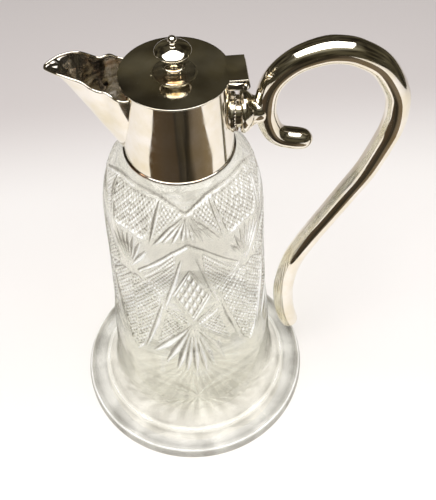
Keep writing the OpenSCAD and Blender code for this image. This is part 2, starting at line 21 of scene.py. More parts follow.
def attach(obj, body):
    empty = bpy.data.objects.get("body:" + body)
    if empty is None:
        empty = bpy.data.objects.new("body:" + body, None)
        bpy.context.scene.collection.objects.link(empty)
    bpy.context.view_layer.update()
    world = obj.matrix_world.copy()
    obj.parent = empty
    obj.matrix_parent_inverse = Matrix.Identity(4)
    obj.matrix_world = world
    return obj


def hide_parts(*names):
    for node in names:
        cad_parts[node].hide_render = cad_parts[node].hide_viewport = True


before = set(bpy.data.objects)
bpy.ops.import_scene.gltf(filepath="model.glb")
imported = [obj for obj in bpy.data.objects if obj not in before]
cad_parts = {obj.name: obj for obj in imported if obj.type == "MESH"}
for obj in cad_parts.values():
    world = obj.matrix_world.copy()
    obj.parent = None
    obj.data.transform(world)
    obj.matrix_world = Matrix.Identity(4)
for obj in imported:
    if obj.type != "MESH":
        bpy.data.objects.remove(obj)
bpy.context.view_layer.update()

LOG = logging.getLogger("claret_jug")
MM = 0.001
Value = float | np.ndarray
ATTRIBUTE = "ShaderNodeAttribute"
BUMP = "ShaderNodeBump"
MAP_RANGE = "ShaderNodeMapRange"
MATH = "ShaderNodeMath"
MIX = "ShaderNodeMix"
NOISE = "ShaderNodeTexNoise"


class Body(Enum):
    """The two bodies that the lid's hinge joins."""

    JUG = "jug"
    LID = "lid"


class Slot(Enum):
    """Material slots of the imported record."""

    GLASS = "cut_glass"
    SILVER = "silver_plate"
    PLASTER = "plaster"
    BRASS = "brass_fixing"


# Small shared helpers


def linear(hex_code: str) -> tuple[float, float, float, float]:
    """Turns an sRGB hex colour into linear RGBA.

    Args:
        hex_code: a colour such as "#E8E2D4".

    Returns:
        Red, green, blue and an alpha of 1, in linear light.
    """
    parts = [int(hex_code[i : i + 2], 16) / 255 for i in (1, 3, 5)]
    light = [c / 12.92 if c <= 0.04045 else ((c + 0.055) / 1.055) ** 2.4 for c in parts]
    return (light[0], light[1], light[2], 1.0)


def add_node(
    tree: bpy.types.NodeTree, kind: str, settings: dict | None = None
) -> bpy.types.Node:
    """Adds a node to a tree with its settings and its incoming links.

    Args:
        tree: the node tree to add to.
        kind: Blender's identifier of the node type.
        settings: values by property name, and by input name or number a value, an output
            socket, a node, which stands for its first output in use, or a list of nodes.

    Returns:
        The new node.
    """
    node = tree.nodes.new(kind)
    for key, value in (settings or {}).items():
        sources = value if isinstance(value, list) else [value]
        if isinstance(sources[0], (bpy.types.Node, bpy.types.NodeSocket)):
            for source in sources:
                if isinstance(source, bpy.types.Node):
                    source = next(socket for socket in source.outputs if socket.enabled)
                tree.links.new(source, node.inputs[key])
        elif isinstance(key, int) or key in node.inputs:
            node.inputs[key].default_value = value
        else:
            setattr(node, key, value)
    return node


def new_material(name: str) -> tuple[bpy.types.Material, Callable[..., bpy.types.Node]]:
    """Makes an empty node material.

    Args:
        name: the material's name.

    Returns:
        The material, and the function that adds a node to it.
    """
    material = bpy.data.materials.new(name)
    material.use_nodes = True
    material.node_tree.nodes.clear()
    return material, partial(add_node, material.node_tree)


def set_ramp(node: bpy.types.Node, stops: Iterable[tuple[float, str]]) -> None:
    """Sets the stops of a colour ramp.

    Args:
        node: the Color Ramp node.
        stops: place and hex colour of each stop. The first two move the ramp's own ends.
    """
    ramp = node.color_ramp
    for number, (place, colour) in enumerate(stops):
        stop = ramp.elements[number] if number < 2 else ramp.elements.new(place)
        stop.position, stop.color = place, linear(colour)


def between(a: Value, b: Value, c: Value, d: Value, u: Value) -> Value:
    """Goes from b to c as u goes from 0 to 1, on the smooth curve through all four."""
    return b + 0.5 * u * (
        (c - a) + u * ((2 * a - 5 * b + 4 * c - d) + u * (3 * (b - c) + d - a))
    )


def catmull(points: list[tuple[float, ...]], steps: int) -> np.ndarray:
    """Draws a smooth curve through points.

    Args:
        points: the points, of any dimension.
        steps: how many steps each stretch between two points has.

    Returns:
        The points of the curve, one per row.
    """
    p = np.array(points, float)
    last = len(p) - 1
    t = np.arange(steps * last + 1) / steps
    i = np.minimum(t.astype(int), last - 1)
    u = (t - i)[:, None]
    return between(p[np.maximum(i - 1, 0)], p[i], p[i + 1], p[np.minimum(i + 2, last)], u)


def new_object(name: str, data: bpy.types.ID) -> bpy.types.Object:
    """Makes an object at the origin and links it to the scene.

    Args:
        name: the object's name.
        data: its mesh, curve, lamp or camera.

    Returns:
        The object.
    """
    obj = bpy.data.objects.new(name, data)
    bpy.context.scene.collection.objects.link(obj)
    return obj


def mesh_object(
    name: str, points: np.ndarray, faces: list, sharp_deg: float = 35.0
) -> bpy.types.Object:
    """Makes a mesh object that is smooth except along edges sharper than an angle.

    Args:
        name: the object's name.
        points: vertices in millimetres, one per row.
        faces: vertex numbers of each face, counter-clockwise seen from outside.
        sharp_deg: edges that bend more than this stay sharp.

    Returns:
        The object, linked to the scene.
    """
    mesh = bpy.data.meshes.new(name)
    mesh.from_pydata((np.asarray(points, float) * MM).tolist(), [], faces)
    mesh.validate()
    smooth_by_angle(mesh, sharp_deg)
    return new_object(name, mesh)


def smooth_by_angle(mesh: bpy.types.Mesh, sharp_deg: float) -> None:
    """Shades a mesh smooth and marks its sharp edges.

    Args:
        mesh: the mesh to shade.
        sharp_deg: edges that bend more than this stay sharp.
    """
    mesh.polygons.foreach_set("use_smooth", np.ones(len(mesh.polygons), bool))
    mesh.set_sharp_from_angle(angle=math.radians(sharp_deg))
    mesh.update()


def write_unwiped(mesh: bpy.types.Mesh, values: np.ndarray) -> None:
    """Writes, for each point, how much of the finish no polishing cloth reaches."""
    layer = mesh.attributes.new("unwiped", "FLOAT", "POINT")
    layer.data.foreach_set("value", values)


def ring_band(a: int, b: int, n: int) -> list[tuple[int, ...]]:
    """Quads between two rings of n points that start at index a and b."""
    return [(a + k, a + (k + 1) % n, b + (k + 1) % n, b + k) for k in range(n)]


def turned(
    name: str, profile: np.ndarray, sides: int = 128, sharp_deg: float = 35.0
) -> bpy.types.Object:
    """Turns a profile round the Z axis, as on a lathe.

    Args:
        name: the object's name.
        profile: rows of radius and height in mm. A profile that starts and ends on the
            axis makes a solid; any other is joined end to start as a ring's section.
            It runs with the solid on its left as it goes up the outside.
        sides: how many faces go round.
        sharp_deg: edges that bend more than this stay sharp.

    Returns:
        The object.
    """
    profile = np.asarray(profile, float)
    on_axis = profile[0, 0] < 1e-6 and profile[-1, 0] < 1e-6
    rows = profile[1:-1] if on_axis else profile
    turn = np.arange(sides) * 2 * math.pi / sides
    rings = np.stack(
        [
            rows[:, :1] * np.cos(turn),
            rows[:, :1] * np.sin(turn),
            np.repeat(rows[:, 1:], sides, 1),
        ],
        -1,
    )
    points = rings.reshape(-1, 3)
    faces: list[tuple[int, ...]] = []
    for i in range(len(rows) - 1):
        faces += ring_band(i * sides, (i + 1) * sides, sides)
    if on_axis:
        low, high = len(points), len(points) + 1
        points = np.vstack([points, [0, 0, profile[0, 1]], [0, 0, profile[-1, 1]]])
        top = (len(rows) - 1) * sides
        faces += [(low, (k + 1) % sides, k) for k in range(sides)]
        faces += [(high, top + k, top + (k + 1) % sides) for k in range(sides)]
    else:
        faces += ring_band((len(rows) - 1) * sides, 0, sides)
    return mesh_object(name, points, faces, sharp_deg)


def from_node(name: str, node: str, sharp_deg: float = 30.0) -> bpy.types.Object:
    """Makes a merged, smooth-shaded copy of a CAD node, which keeps its exact shape.

    Args:
        name: the new object's name.
        node: the CAD node to copy.
        sharp_deg: edges that bend more than this stay sharp.

    Returns:
        The copy.
    """
    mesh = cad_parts[node].data.copy()
    mesh.name = name
    shape = bmesh.new()
    shape.from_mesh(mesh)
    bmesh.ops.remove_doubles(shape, verts=shape.verts, dist=1e-6)
    bmesh.ops.dissolve_degenerate(shape, edges=shape.edges, dist=1e-6)
    shape.to_mesh(mesh)
    shape.free()
    smooth_by_angle(mesh, sharp_deg)
    return new_object(name, mesh)


def plain_mesh(obj: bpy.types.Object) -> bpy.types.Object:
    """Bakes an object's modifiers into a plain mesh object of the same name.

    Args:
        obj: a mesh or curve object with live modifiers.

    Returns:
        The baked object. The one given is removed.
    """
    bpy.context.view_layer.update()
    graph = bpy.context.evaluated_depsgraph_get()
    mesh = bpy.data.meshes.new_from_object(obj.evaluated_get(graph), depsgraph=graph)
    name = obj.name
    bpy.data.objects.remove(obj)
    return new_object(name, mesh)


def dress(
    obj: bpy.types.Object,
    body: Body,
    material: bpy.types.Material,
    nodes: tuple[str, ...],
) -> bpy.types.Object:
    """Gives a piece its material, and hands it to its body in place of CAD nodes.

    Args:
        obj: the finished piece.
        body: the body it moves with.
        material: its material.
        nodes: the CAD nodes that it stands for.

    Returns:
        The piece.
    """
    obj.data.materials.clear()
    obj.data.materials.append(material)
    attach(obj, body.value)
    if nodes:
        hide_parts(*nodes)
    LOG.info("%s: %d faces, for %s", obj.name, len(obj.data.polygons), ", ".join(nodes))
    return obj


def dress_silver(
    obj: bpy.types.Object, body: Body, silver: bpy.types.Material, node: str
) -> None:
    """Dresses a silver-plated piece that stands for one CAD node."""
    dress(obj, body, silver, (node,))


# Finishes


@dataclass(frozen=True)
class SilverPlate:
    """Electroplated silver on a base metal, hand polished for years.

    The eye gets a true mirror with a warm cast: faint yellow tarnish in soft patches,
    a slightly uneven surface that bends reflections, and fine wiping scratches. Where a
    mesh's attribute "unwiped" says that no cloth reaches, it is grey-brown and dull.
    """

    name: str = "silver_plate_hand_polished"
    clean: str = "#F2EDE4"
    tarnish: str = "#E4DAC0"
    unwiped: str = "#ABA59E"
    unwiped_red: str = "#A9805F"
    unwiped_dull: float = 0.1
    patch_mm: float = 16.0
    patch_from: float = 0.35
    patch_to: float = 0.7
    red_from: float = 0.52
    red_to: float = 0.66
    smear_mm: float = 4.8
    smear_from: float = 0.3
    smear_to: float = 0.75
    dullest: float = 0.13
    brightest: float = 0.035
    wave_mm: float = 22.0
    wave_height_mm: float = 0.10
    knock_mm: float = 6.0
    knock_height_mm: float = 0.8
    scratch_mm: float = 0.9
    scratch_height_mm: float = 0.0035
    scratch_run: tuple[float, float, float] = (1.0, 0.22, 1.0)
    scratch_turn: tuple[float, float, float] = (0.0, 0.3, 0.5)

    def material(self) -> bpy.types.Material:
        """Builds the material.

        Returns:
            The silver plate.
        """
        material, add = new_material(self.name)
        place = add("ShaderNodeTexCoord").outputs["Object"]
        patches = add(
            NOISE,
            {
                "Scale": 1 / (self.patch_mm * MM),
                "Detail": 4.0,
                "Roughness": 0.6,
                "Vector": place,
            },
        )
        cast = add(
            MAP_RANGE,
            {"From Min": self.patch_from, "From Max": self.patch_to, "Value": patches},
        )
        colour = add(
            MIX, {"data_type": "RGBA", 0: cast, 6: linear(self.clean), 7: linear(self.tarnish)}
        )
        smear = add(NOISE, {"Scale": 1 / (self.smear_mm * MM), "Detail": 5.0, "Vector": place})
        left = add(ATTRIBUTE, {"attribute_type": "GEOMETRY", "attribute_name": "unwiped"})
        redness = add(
            MAP_RANGE, {"From Min": self.red_from, "From Max": self.red_to, "Value": patches}
        )
        grime = add(
            MIX,
            {
                "data_type": "RGBA",
                0: redness,
                6: linear(self.unwiped),
                7: linear(self.unwiped_red),
            },
        )
        covered = add(MIX, {"data_type": "RGBA", 0: left.outputs["Fac"], 6: colour, 7: grime})
        dull = add(
            MAP_RANGE,
            {
                "From Min": self.smear_from,
                "From Max": self.smear_to,
                "To Min": self.brightest,
                "To Max": self.dullest,
                "Value": smear,
            },
        )
        duller = add(
            MATH,
            {
                "operation": "MULTIPLY_ADD",
                0: left.outputs["Fac"],
                1: self.unwiped_dull,
                2: dull,
            },
        )
        wave = add(NOISE, {"Scale": 1 / (self.wave_mm * MM), "Detail": 1.5, "Vector": place})
        slow = add(
            BUMP, {"Strength": 1.0, "Distance": self.wave_height_mm * MM, "Height": wave}
        )
        knocks = add(NOISE, {"Scale": 1 / (self.knock_mm * MM), "Detail": 1.0, "Vector": place})
        knocked = add(MATH, {"operation": "MULTIPLY", 0: knocks, 1: left.outputs["Fac"]})
        rough = add(
            BUMP,
            {
                "Strength": 1.0,
                "Distance": self.knock_height_mm * MM,
                "Height": knocked,
                "Normal": slow,
            },
        )
        stretch = add(
            "ShaderNodeMapping",
            {"Scale": self.scratch_run, "Rotation": self.scratch_turn, "Vector": place},
        )
        scratch = add(
            NOISE, {"Scale": 1 / (self.scratch_mm * MM), "Detail": 2.0, "Vector": stretch}
        )
        fine = add(
            BUMP,
            {
                "Strength": 1.0,
                "Distance": self.scratch_height_mm * MM,
                "Height": scratch,
                "Normal": rough,
            },
        )
        shader = add(
            "ShaderNodeBsdfPrincipled",
            {"Metallic": 1.0, "Base Color": covered, "Roughness": duller, "Normal": fine},
        )
        add("ShaderNodeOutputMaterial", {"Surface": shader})
        return material


@dataclass(frozen=True)
class LeadCrystal:
    """Lead crystal, blown, cut on a wheel and polished.

    The eye gets colourless glass that bends light strongly. The light and shade of the
    cuts are painted into its see-through colour, with painted pools of reflected light,
    painted highlights and painted dark rims. The surface is faintly uneven.
    """

    name: str = "lead_crystal_cut_and_polished"
    shade: str = "#FCFCFA"
    ior: float = 1.5
    roughness: float = 0.01
    wave_mm: float = 9.0
    wave_height_mm: float = 0.012
    straight: float = 0.45
    # Painted shade of the cuts, and the plain see-through colour
    cut_painted_shade: str = "#88857D"
    cut_plain: str = "#FBFBF8"
    # Painted highlight: the white glint of the brightest facets
    painted_glint_white: str = "#FFFFFF"
    # Painted shade: the dark rim where the glass turns edge-on
    painted_rim_shade: str = "#7D7A71"
    far_side: float = 0.45
    # Painted highlight: the largest share of the white glint
    painted_glint_share: float = 0.85
    # Painted pools of reflected and gathered light in the glass: their size, strength and lift
    pool_mm: float = 15.0
    painted_pool: float = 0.3
    pool_lift: float = 0.07
    hatch_pitch: float = 2.0
    hatch_deg: tuple[float, float] = (50.0, -50.0)
    hatch_depth: float = 0.9
    pool_stretch: tuple[float, float, float] = (1.0, 1.0, 0.45)
    plain_from: float = 0.5
    # Painted light at which the painted highlight starts
    painted_glint_from: float = 0.55
    # Facings between which the painted dark rim grows
    edge_from: float = 0.68
    edge_to: float = 0.97

    def material(self) -> bpy.types.Material:
        """Builds the material. Rays from lamps pass it, as real glass lets them.

        Returns:
            The crystal.
        """
        material, add = new_material(self.name)
        place = add("ShaderNodeTexCoord").outputs["Object"]
        wave = add(NOISE, {"Scale": 1 / (self.wave_mm * MM), "Detail": 1.0, "Vector": place})
        bump = add(
            BUMP, {"Strength": 1.0, "Distance": self.wave_height_mm * MM, "Height": wave}
        )
        path = add("ShaderNodeLightPath").outputs
        passed = add(MATH, {"operation": "GREATER_THAN", 0: path["Transparent Depth"], 1: 0.5})
        later = add(MATH, {"operation": "MAXIMUM", 0: path["Is Transmission Ray"], 1: passed})
        share = add(MATH, {"operation": "MAXIMUM", 0: later, 1: self.straight})

        # The fine hatching is drawn as painted light and shade lines across its patches
        spot = add(ATTRIBUTE, {"attribute_type": "GEOMETRY", "attribute_name": "cut_hatch"})
        mask = add("ShaderNodeSeparateXYZ", {"Vector": spot.outputs["Vector"]}).outputs
        lines = []
        for degrees in self.hatch_deg:
            turn = math.radians(degrees)
            slants = (("X", -math.sin(turn)), ("Y", math.cos(turn)))
            parts = [
                add(MATH, {"operation": "MULTIPLY", 0: mask[axis], 1: slant / self.hatch_pitch})
                for axis, slant in slants
            ]
            across = add(MATH, {"operation": "ADD", 0: parts[0], 1: parts[1]})
            lines.append(add(MATH, {"operation": "PINGPONG", 0: across, 1: 0.5}))
        crossing = add(MATH, {"operation": "ADD", 0: lines[0], 1: lines[1]})
        centred = add(MATH, {"operation": "SUBTRACT", 0: crossing, 1: 0.5})
        hatch = add(MATH, {"operation": "MULTIPLY", 0: centred, 1: self.hatch_depth})

        # Painted pools of reflected and gathered light: slow noise, stretched along the height
        stretch = add("ShaderNodeMapping", {"Scale": self.pool_stretch, "Vector": place})
        painted_light_pools = add(
            NOISE,
            {
                "Scale": 1 / (self.pool_mm * MM),
                "Detail": 2.0,
                "Distortion": 0.6,
                "Vector": stretch,
            },
        )
        least = self.pool_lift - self.painted_pool
        painted_pool = add(MATH, {"operation": "MULTIPLY_ADD", 0: painted_light_pools, 1: 2 * self.painted_pool, 2: least})
        # Painted light and shade of the cuts, read from the mesh, with the hatch lines and the
        # painted pools added
        light = add(
            ATTRIBUTE, {"attribute_type": "GEOMETRY", "attribute_name": "cut_light"}
        ).outputs["Fac"]
        lined = add(MATH, {"operation": "MULTIPLY_ADD", 0: hatch, 1: mask["Z"], 2: light})
        painted_light_tone = add(MATH, {"operation": "ADD", 0: lined, 1: painted_pool})

        # The see-through colour carries the painted tone, from painted shade to the plain
        # colour, weaker on later surfaces
        tone = add("ShaderNodeValToRGB", {"Fac": painted_light_tone})
        set_ramp(tone, ((0.0, self.cut_painted_shade), (self.plain_from, self.cut_plain)))
        weak = add(MATH, {"operation": "MULTIPLY", 0: later, 1: 1.0 - self.far_side})
        drawn = add(MIX, {"data_type": "RGBA", 0: weak, 6: tone, 7: linear(self.cut_plain)})
        # Painted shade: the see-through colour turns dark where the surface turns edge-on, a
        # painted dark rim on the first surface
        facing = add("ShaderNodeLayerWeight", {"Blend": 0.5}).outputs["Facing"]
        edge = add(
            MAP_RANGE, {"From Min": self.edge_from, "From Max": self.edge_to, "Value": facing}
        )
        painted_rim_mask = add(MATH, {"operation": "SUBTRACT", 0: edge, 1: later})
        tint = add(
            MIX, {"data_type": "RGBA", 0: painted_rim_mask, 6: drawn, 7: linear(self.painted_rim_shade)}
        )

        # Painted highlights: where the painted light is brightest, a white diffuse glint is
        # mixed in on the first surface
        catch = add(
            MAP_RANGE,
            {
                "From Min": self.painted_glint_from,
                "From Max": 1.0,
                "To Max": self.painted_glint_share,
                "Value": painted_light_tone,
            },
        )
        first = add(MATH, {"operation": "SUBTRACT", 0: 1.0, 1: weak})
        lit = add(MATH, {"operation": "MULTIPLY", 0: catch, 1: first})
        glass = add(
            "ShaderNodeBsdfPrincipled",
            {
                "Base Color": tint,
                "Roughness": self.roughness,
                "IOR": self.ior,
                "Transmission Weight": 1.0,
                "Normal": bump,
            },
        )
        see = add("ShaderNodeBsdfTransparent", {"Color": tint})
        facet = add("ShaderNodeBsdfDiffuse", {"Color": linear(self.painted_glint_white)})
        clear = add("ShaderNodeBsdfTransparent", {"Color": linear(self.shade)})
        seen = add("ShaderNodeMixShader", {0: share, 1: glass, 2: see})
        body = add("ShaderNodeMixShader", {0: lit, 1: seen, 2: facet})
        mix = add("ShaderNodeMixShader", {0: path["Is Shadow Ray"], 1: body, 2: clear})
        add("ShaderNodeOutputMaterial", {"Surface": mix})
        return material


@dataclass(frozen=True)
class Matt:
    """A dull solid with a grain: set plaster or a cast and turned fixing."""

    name: str
    light: str
    dark: str
    metallic: float
    roughness: float
    grain_mm: float
    grain_height_mm: float

    def material(self) -> bpy.types.Material:
        """Builds the material.

        Returns:
            The material, mottled between its two colours.
        """
        material, add = new_material(self.name)
        place = add("ShaderNodeTexCoord").outputs["Object"]
        grain = add(NOISE, {"Scale": 1 / (self.grain_mm * MM), "Detail": 5.0, "Vector": place})
        colour = add(
            MIX, {"data_type": "RGBA", 0: grain, 6: linear(self.light), 7: linear(self.dark)}
        )
        bump = add(
            BUMP, {"Strength": 0.6, "Distance": self.grain_height_mm * MM, "Height": grain}
        )
        shader = add(
            "ShaderNodeBsdfPrincipled",
            {
                "Metallic": self.metallic,
                "Roughness": self.roughness,
                "Base Color": colour,
                "Normal": bump,
            },
        )
        add("ShaderNodeOutputMaterial", {"Surface": shader})
        return material


PLASTER = Matt("plaster_set_and_matt", "#E6DECB", "#CFC5AE", 0.0, 0.85, 0.8, 0.05)
BRASS = Matt("brass_turned_dull", "#C9A765", "#A8854A", 1.0, 0.32, 0.7, 0.01)


# The glass vessel


@dataclass(frozen=True)
class Cut:
    """One cut of the wheel along a line, in a unit's own coordinates.

    Places are degrees from the unit's middle and mm of height. The groove is V-shaped.
    """

    line: tuple[tuple[float, float], ...]
    half: float = 1.5
    depth: float = 1.0
    widest: float = 0.5
    taper: float = 0.7


@dataclass(frozen=True)
class Field:
    """A patch filled with parallel grooves, one set for each angle."""

    corners: tuple[tuple[float, float], ...]
    pitch: float
    depth: float
    angles: tuple[float, ...] = (52.0, -52.0)


@dataclass
class CutPattern:
    """The pattern around the body. One unit is a quarter turn and its own mirror image."""

    units: int = 4
    mm_per_degree: float = 0.803
    crossing_z: float = 198.8
    arch_z: float = 206.4
    apex_z: float = 180.9
    hobnail_top: float = 159.5
    hobnail_low: float = 121.0
    hobnail_deg: float = 12.5
    hobnail_rows: int = 4
    root_z: float = 115.5
    border: float = 0.4
    hobnail_cut: float = 1.1
    hobnail_sharp: float = 1.6

    def cuts(self) -> list[Cut]:
        """Lists the wheel's single cuts on one half of a unit.

        Returns:
            The cuts.
        """
        mid = (0.0, self.crossing_z)
        arch = (mid, (9.0, 202.3), (20.0, 205.2), (32.0, 206.2), (45.5, self.arch_z))
        cuts = [
            Cut(arch, 1.3, 0.9, taper=0.15),
            Cut((mid, (12.0, 190.8), (25.0, 178.6)), 1.5, 1.0, 0.55),
            Cut(((20.0, 206.5), (26.5, 179.5)), 1.7, 1.2, 0.35),
            Cut(
                ((37.5, 155.0), (26.0, 163.8), (11.0, 175.2), (0.0, self.apex_z)),
                1.4,
                1.0,
                taper=0.12,
            ),
            Cut(((4.5, 173.0), (19.5, 129.5)), 1.7, 1.2, 0.6),
            Cut(((20.5, 134.0), (37.0, 84.5)), 2.0, 1.3, 0.35),
            Cut(((0.0, 162.0), (self.hobnail_deg + 0.8, 140.5)), 1.0, 0.8, taper=0.2),
            Cut(((self.hobnail_deg + 0.8, 140.5), (0.0, 118.8)), 1.0, 0.8, taper=0.2),
        ]
        fan = ((0.0, 185.0), (3.9, 183.6), (11.0, 182.0), (18.0, 181.6))
        cuts += [Cut(((0.0, 198.3), tip), 1.15, 1.0, 0.62) for tip in fan]
        sprays = ((45.0, 181.5), (39.5, 181.0), (34.0, 179.0), (29.5, 174.0))
        cuts += [Cut(((45.0, 155.0), tip), 1.6, 1.2, 0.6) for tip in sprays]
        collar_fan = ((45.0, 206.0), (39.0, 205.0))
        cuts += [Cut(((45.0, 198.0), tip), 1.1, 0.8, 0.6) for tip in collar_fan]
        leaves = ((0.0, 68.5), (7.0, 69.0), (13.6, 70.8), (21.5, 77.0), (31.0, 84.5))
        cuts += [Cut(((0.0, self.root_z), tip), 2.4, 1.4, 0.6) for tip in leaves]
        return cuts

    def fields(self) -> list[Field]:
        """Lists the patches of hatching on one half of a unit.

        Returns:
            The patches.
        """
        return [
            Field(((18.6, 203.8), (3.6, 199.3), (24.0, 184.5)), 1.9, 0.5, (20.0,)),
            Field(
                ((22.5, 204.6), (45.1, 205.0), (45.1, 184.0), (30.0, 181.5)),
                4.6,
                1.0,
                (48.0, -48.0),
            ),
            Field(
                ((35.6, 155.2), (9.4, 174.2), (9.6, 169.4), (33.0, 151.6)),
                2.3,
                0.8,
                (-48.0,),
            ),
            Field(
                ((32.6, 151.0), (9.6, 168.2), (10.4, 157.0), (17.0, 143.4)),
                2.1,
                0.55,
            ),
            Field(
                ((33.4, 150.4), (19.6, 143.6), (19.9, 139.4), (33.0, 147.0)),
                2.2,
                0.7,
                (58.0,),
            ),
            Field(
                ((16.5, 130.2), (3.4, 119.6), (3.6, 114.6), (18.4, 124.6)),
                2.2,
                0.7,
                (50.0, -50.0),
            ),
            Field(
                ((18.8, 122.8), (4.6, 113.0), (27.5, 93.5)),
                2.0,
                0.45,
                (12.0,),
            ),
            Field(
                ((45.1, 150.0), (36.5, 149.5), (22.5, 138.0), (23.6, 129.5)),
                4.4,
                1.0,
                (56.0, -56.0),
            ),
            Field(
                ((45.1, 150.0), (23.6, 129.5), (39.6, 84.5), (45.1, 78.0)),
                4.4,
                1.1,
                (56.0, -56.0),
            ),
        ]

    def cut_depth(self, cut: Cut, x: np.ndarray, z: np.ndarray) -> np.ndarray:
        """Finds how deep one cut goes at each place.

        Args:
            cut: the cut.
            x: mm across from the unit's middle.
            z: mm of height.

        Returns:
            Depths in mm, 0 where the cut isn't.
        """
        line = np.array(cut.line) * (self.mm_per_degree, 1.0)
        lengths = np.hypot(*np.diff(line, axis=0).T)
        whole, run = lengths.sum(), 0.0
        deepest = np.zeros_like(x)
        for (px, pz), (qx, qz), length in zip(line[:-1], line[1:], lengths):
            dx, dz = (qx - px) / length, (qz - pz) / length
            along = np.clip((x - px) * dx + (z - pz) * dz, 0.0, length)
            off = np.hypot(x - px - along * dx, z - pz - along * dz)
            t = (run + along) / whole
            swell = np.minimum(t / cut.widest, (1 - t) / (1 - cut.widest))
            width = cut.half * np.clip(swell, 0, 1) ** cut.taper
            deepest = np.maximum(deepest, cut.depth * (width - off) / cut.half)
            run += length
        return np.maximum(deepest, 0.0)

    def fold(self, degrees: np.ndarray) -> np.ndarray:
        """Finds the distance from the middle of the nearest unit, in mm."""
        unit = 360.0 / self.units
        place = np.abs((degrees + 90.0 + unit / 2) % unit - unit / 2)
        return place * self.mm_per_degree

    def cover(self, patch: Field, x: np.ndarray, z: np.ndarray) -> np.ndarray:
        """Finds where a patch lies: 1 inside, 0 outside, in between at its border.

        Args:
            patch: the patch.
            x: mm across from the unit's middle.
            z: mm of height.

        Returns:
            Shares from 0 to 1.
        """
        corners = np.array(patch.corners) * (self.mm_per_degree, 1.0)
        ahead = np.roll(corners, -1, axis=0)
        cross = corners[:, 0] * ahead[:, 1] - corners[:, 1] * ahead[:, 0]
        sign = 1.0 if cross.sum() > 0 else -1.0
        inside = np.full_like(x, 1e3)
        for (px, pz), (qx, qz) in zip(corners, ahead):
            length = math.hypot(qx - px, qz - pz)
            gap = ((qx - px) * (z - pz) - (qz - pz) * (x - px)) * sign / length
            inside = np.minimum(inside, gap)
        return np.clip(inside / self.border, 0, 1)

    def field_depth(self, patch: Field, x: np.ndarray, z: np.ndarray) -> np.ndarray:
        """Finds how deep a patch of hatching goes at each place.

        Args:
            patch: the patch.
            x: mm across from the unit's middle.
            z: mm of height.

        Returns:
            Depths in mm, 0 outside the patch.
        """
        grooves = np.zeros_like(x)
        for angle in patch.angles:
            turn = math.radians(angle)
            across = (-x * math.sin(turn) + z * math.cos(turn)) / patch.pitch
            grooves = np.maximum(grooves, np.abs(2 * (across % 1.0) - 1))
        return patch.depth * grooves * self.cover(patch, x, z)

    def hobnail_depth(self, x: np.ndarray, z: np.ndarray) -> np.ndarray:
        """Finds the depth of the nailheads in the middle diamond.

        Args:
            x: mm across from the unit's middle.
            z: mm of height.

        Returns:
            Depths in mm, 0 outside the diamond.
        """
        tall = 0.5 * (self.hobnail_top - self.hobnail_low)
        wide = (self.hobnail_deg - 1.0) * self.mm_per_degree
        up = (z - self.hobnail_low - tall) / tall
        p, q = 0.5 * (up + x / wide) + 0.5, 0.5 * (up - x / wide) + 0.5
        inside = (np.minimum(p, q) > 0) & (np.maximum(p, q) < 1)
        deepest = np.zeros_like(x)
        for share in (p, q):
            cell = (share * self.hobnail_rows) % 1.0
            deepest = np.maximum(deepest, np.abs(2 * cell - 1) ** self.hobnail_sharp)
        return np.where(inside, self.hobnail_cut * deepest, 0.0)

    def depth(self, degrees: np.ndarray, z: np.ndarray) -> np.ndarray:
        """Finds the depth of the whole pattern.

        Args:
            degrees: azimuths, with 0 towards the handle.
            z: heights in mm.

        Returns:
            Depths in mm.
        """
        x = self.fold(degrees)
        deepest = self.hobnail_depth(x, z)
        for cut in self.cuts():
            deepest = np.maximum(deepest, self.cut_depth(cut, x, z))
        for patch in self.fields():
            deepest = np.maximum(deepest, self.field_depth(patch, x, z))
        return deepest


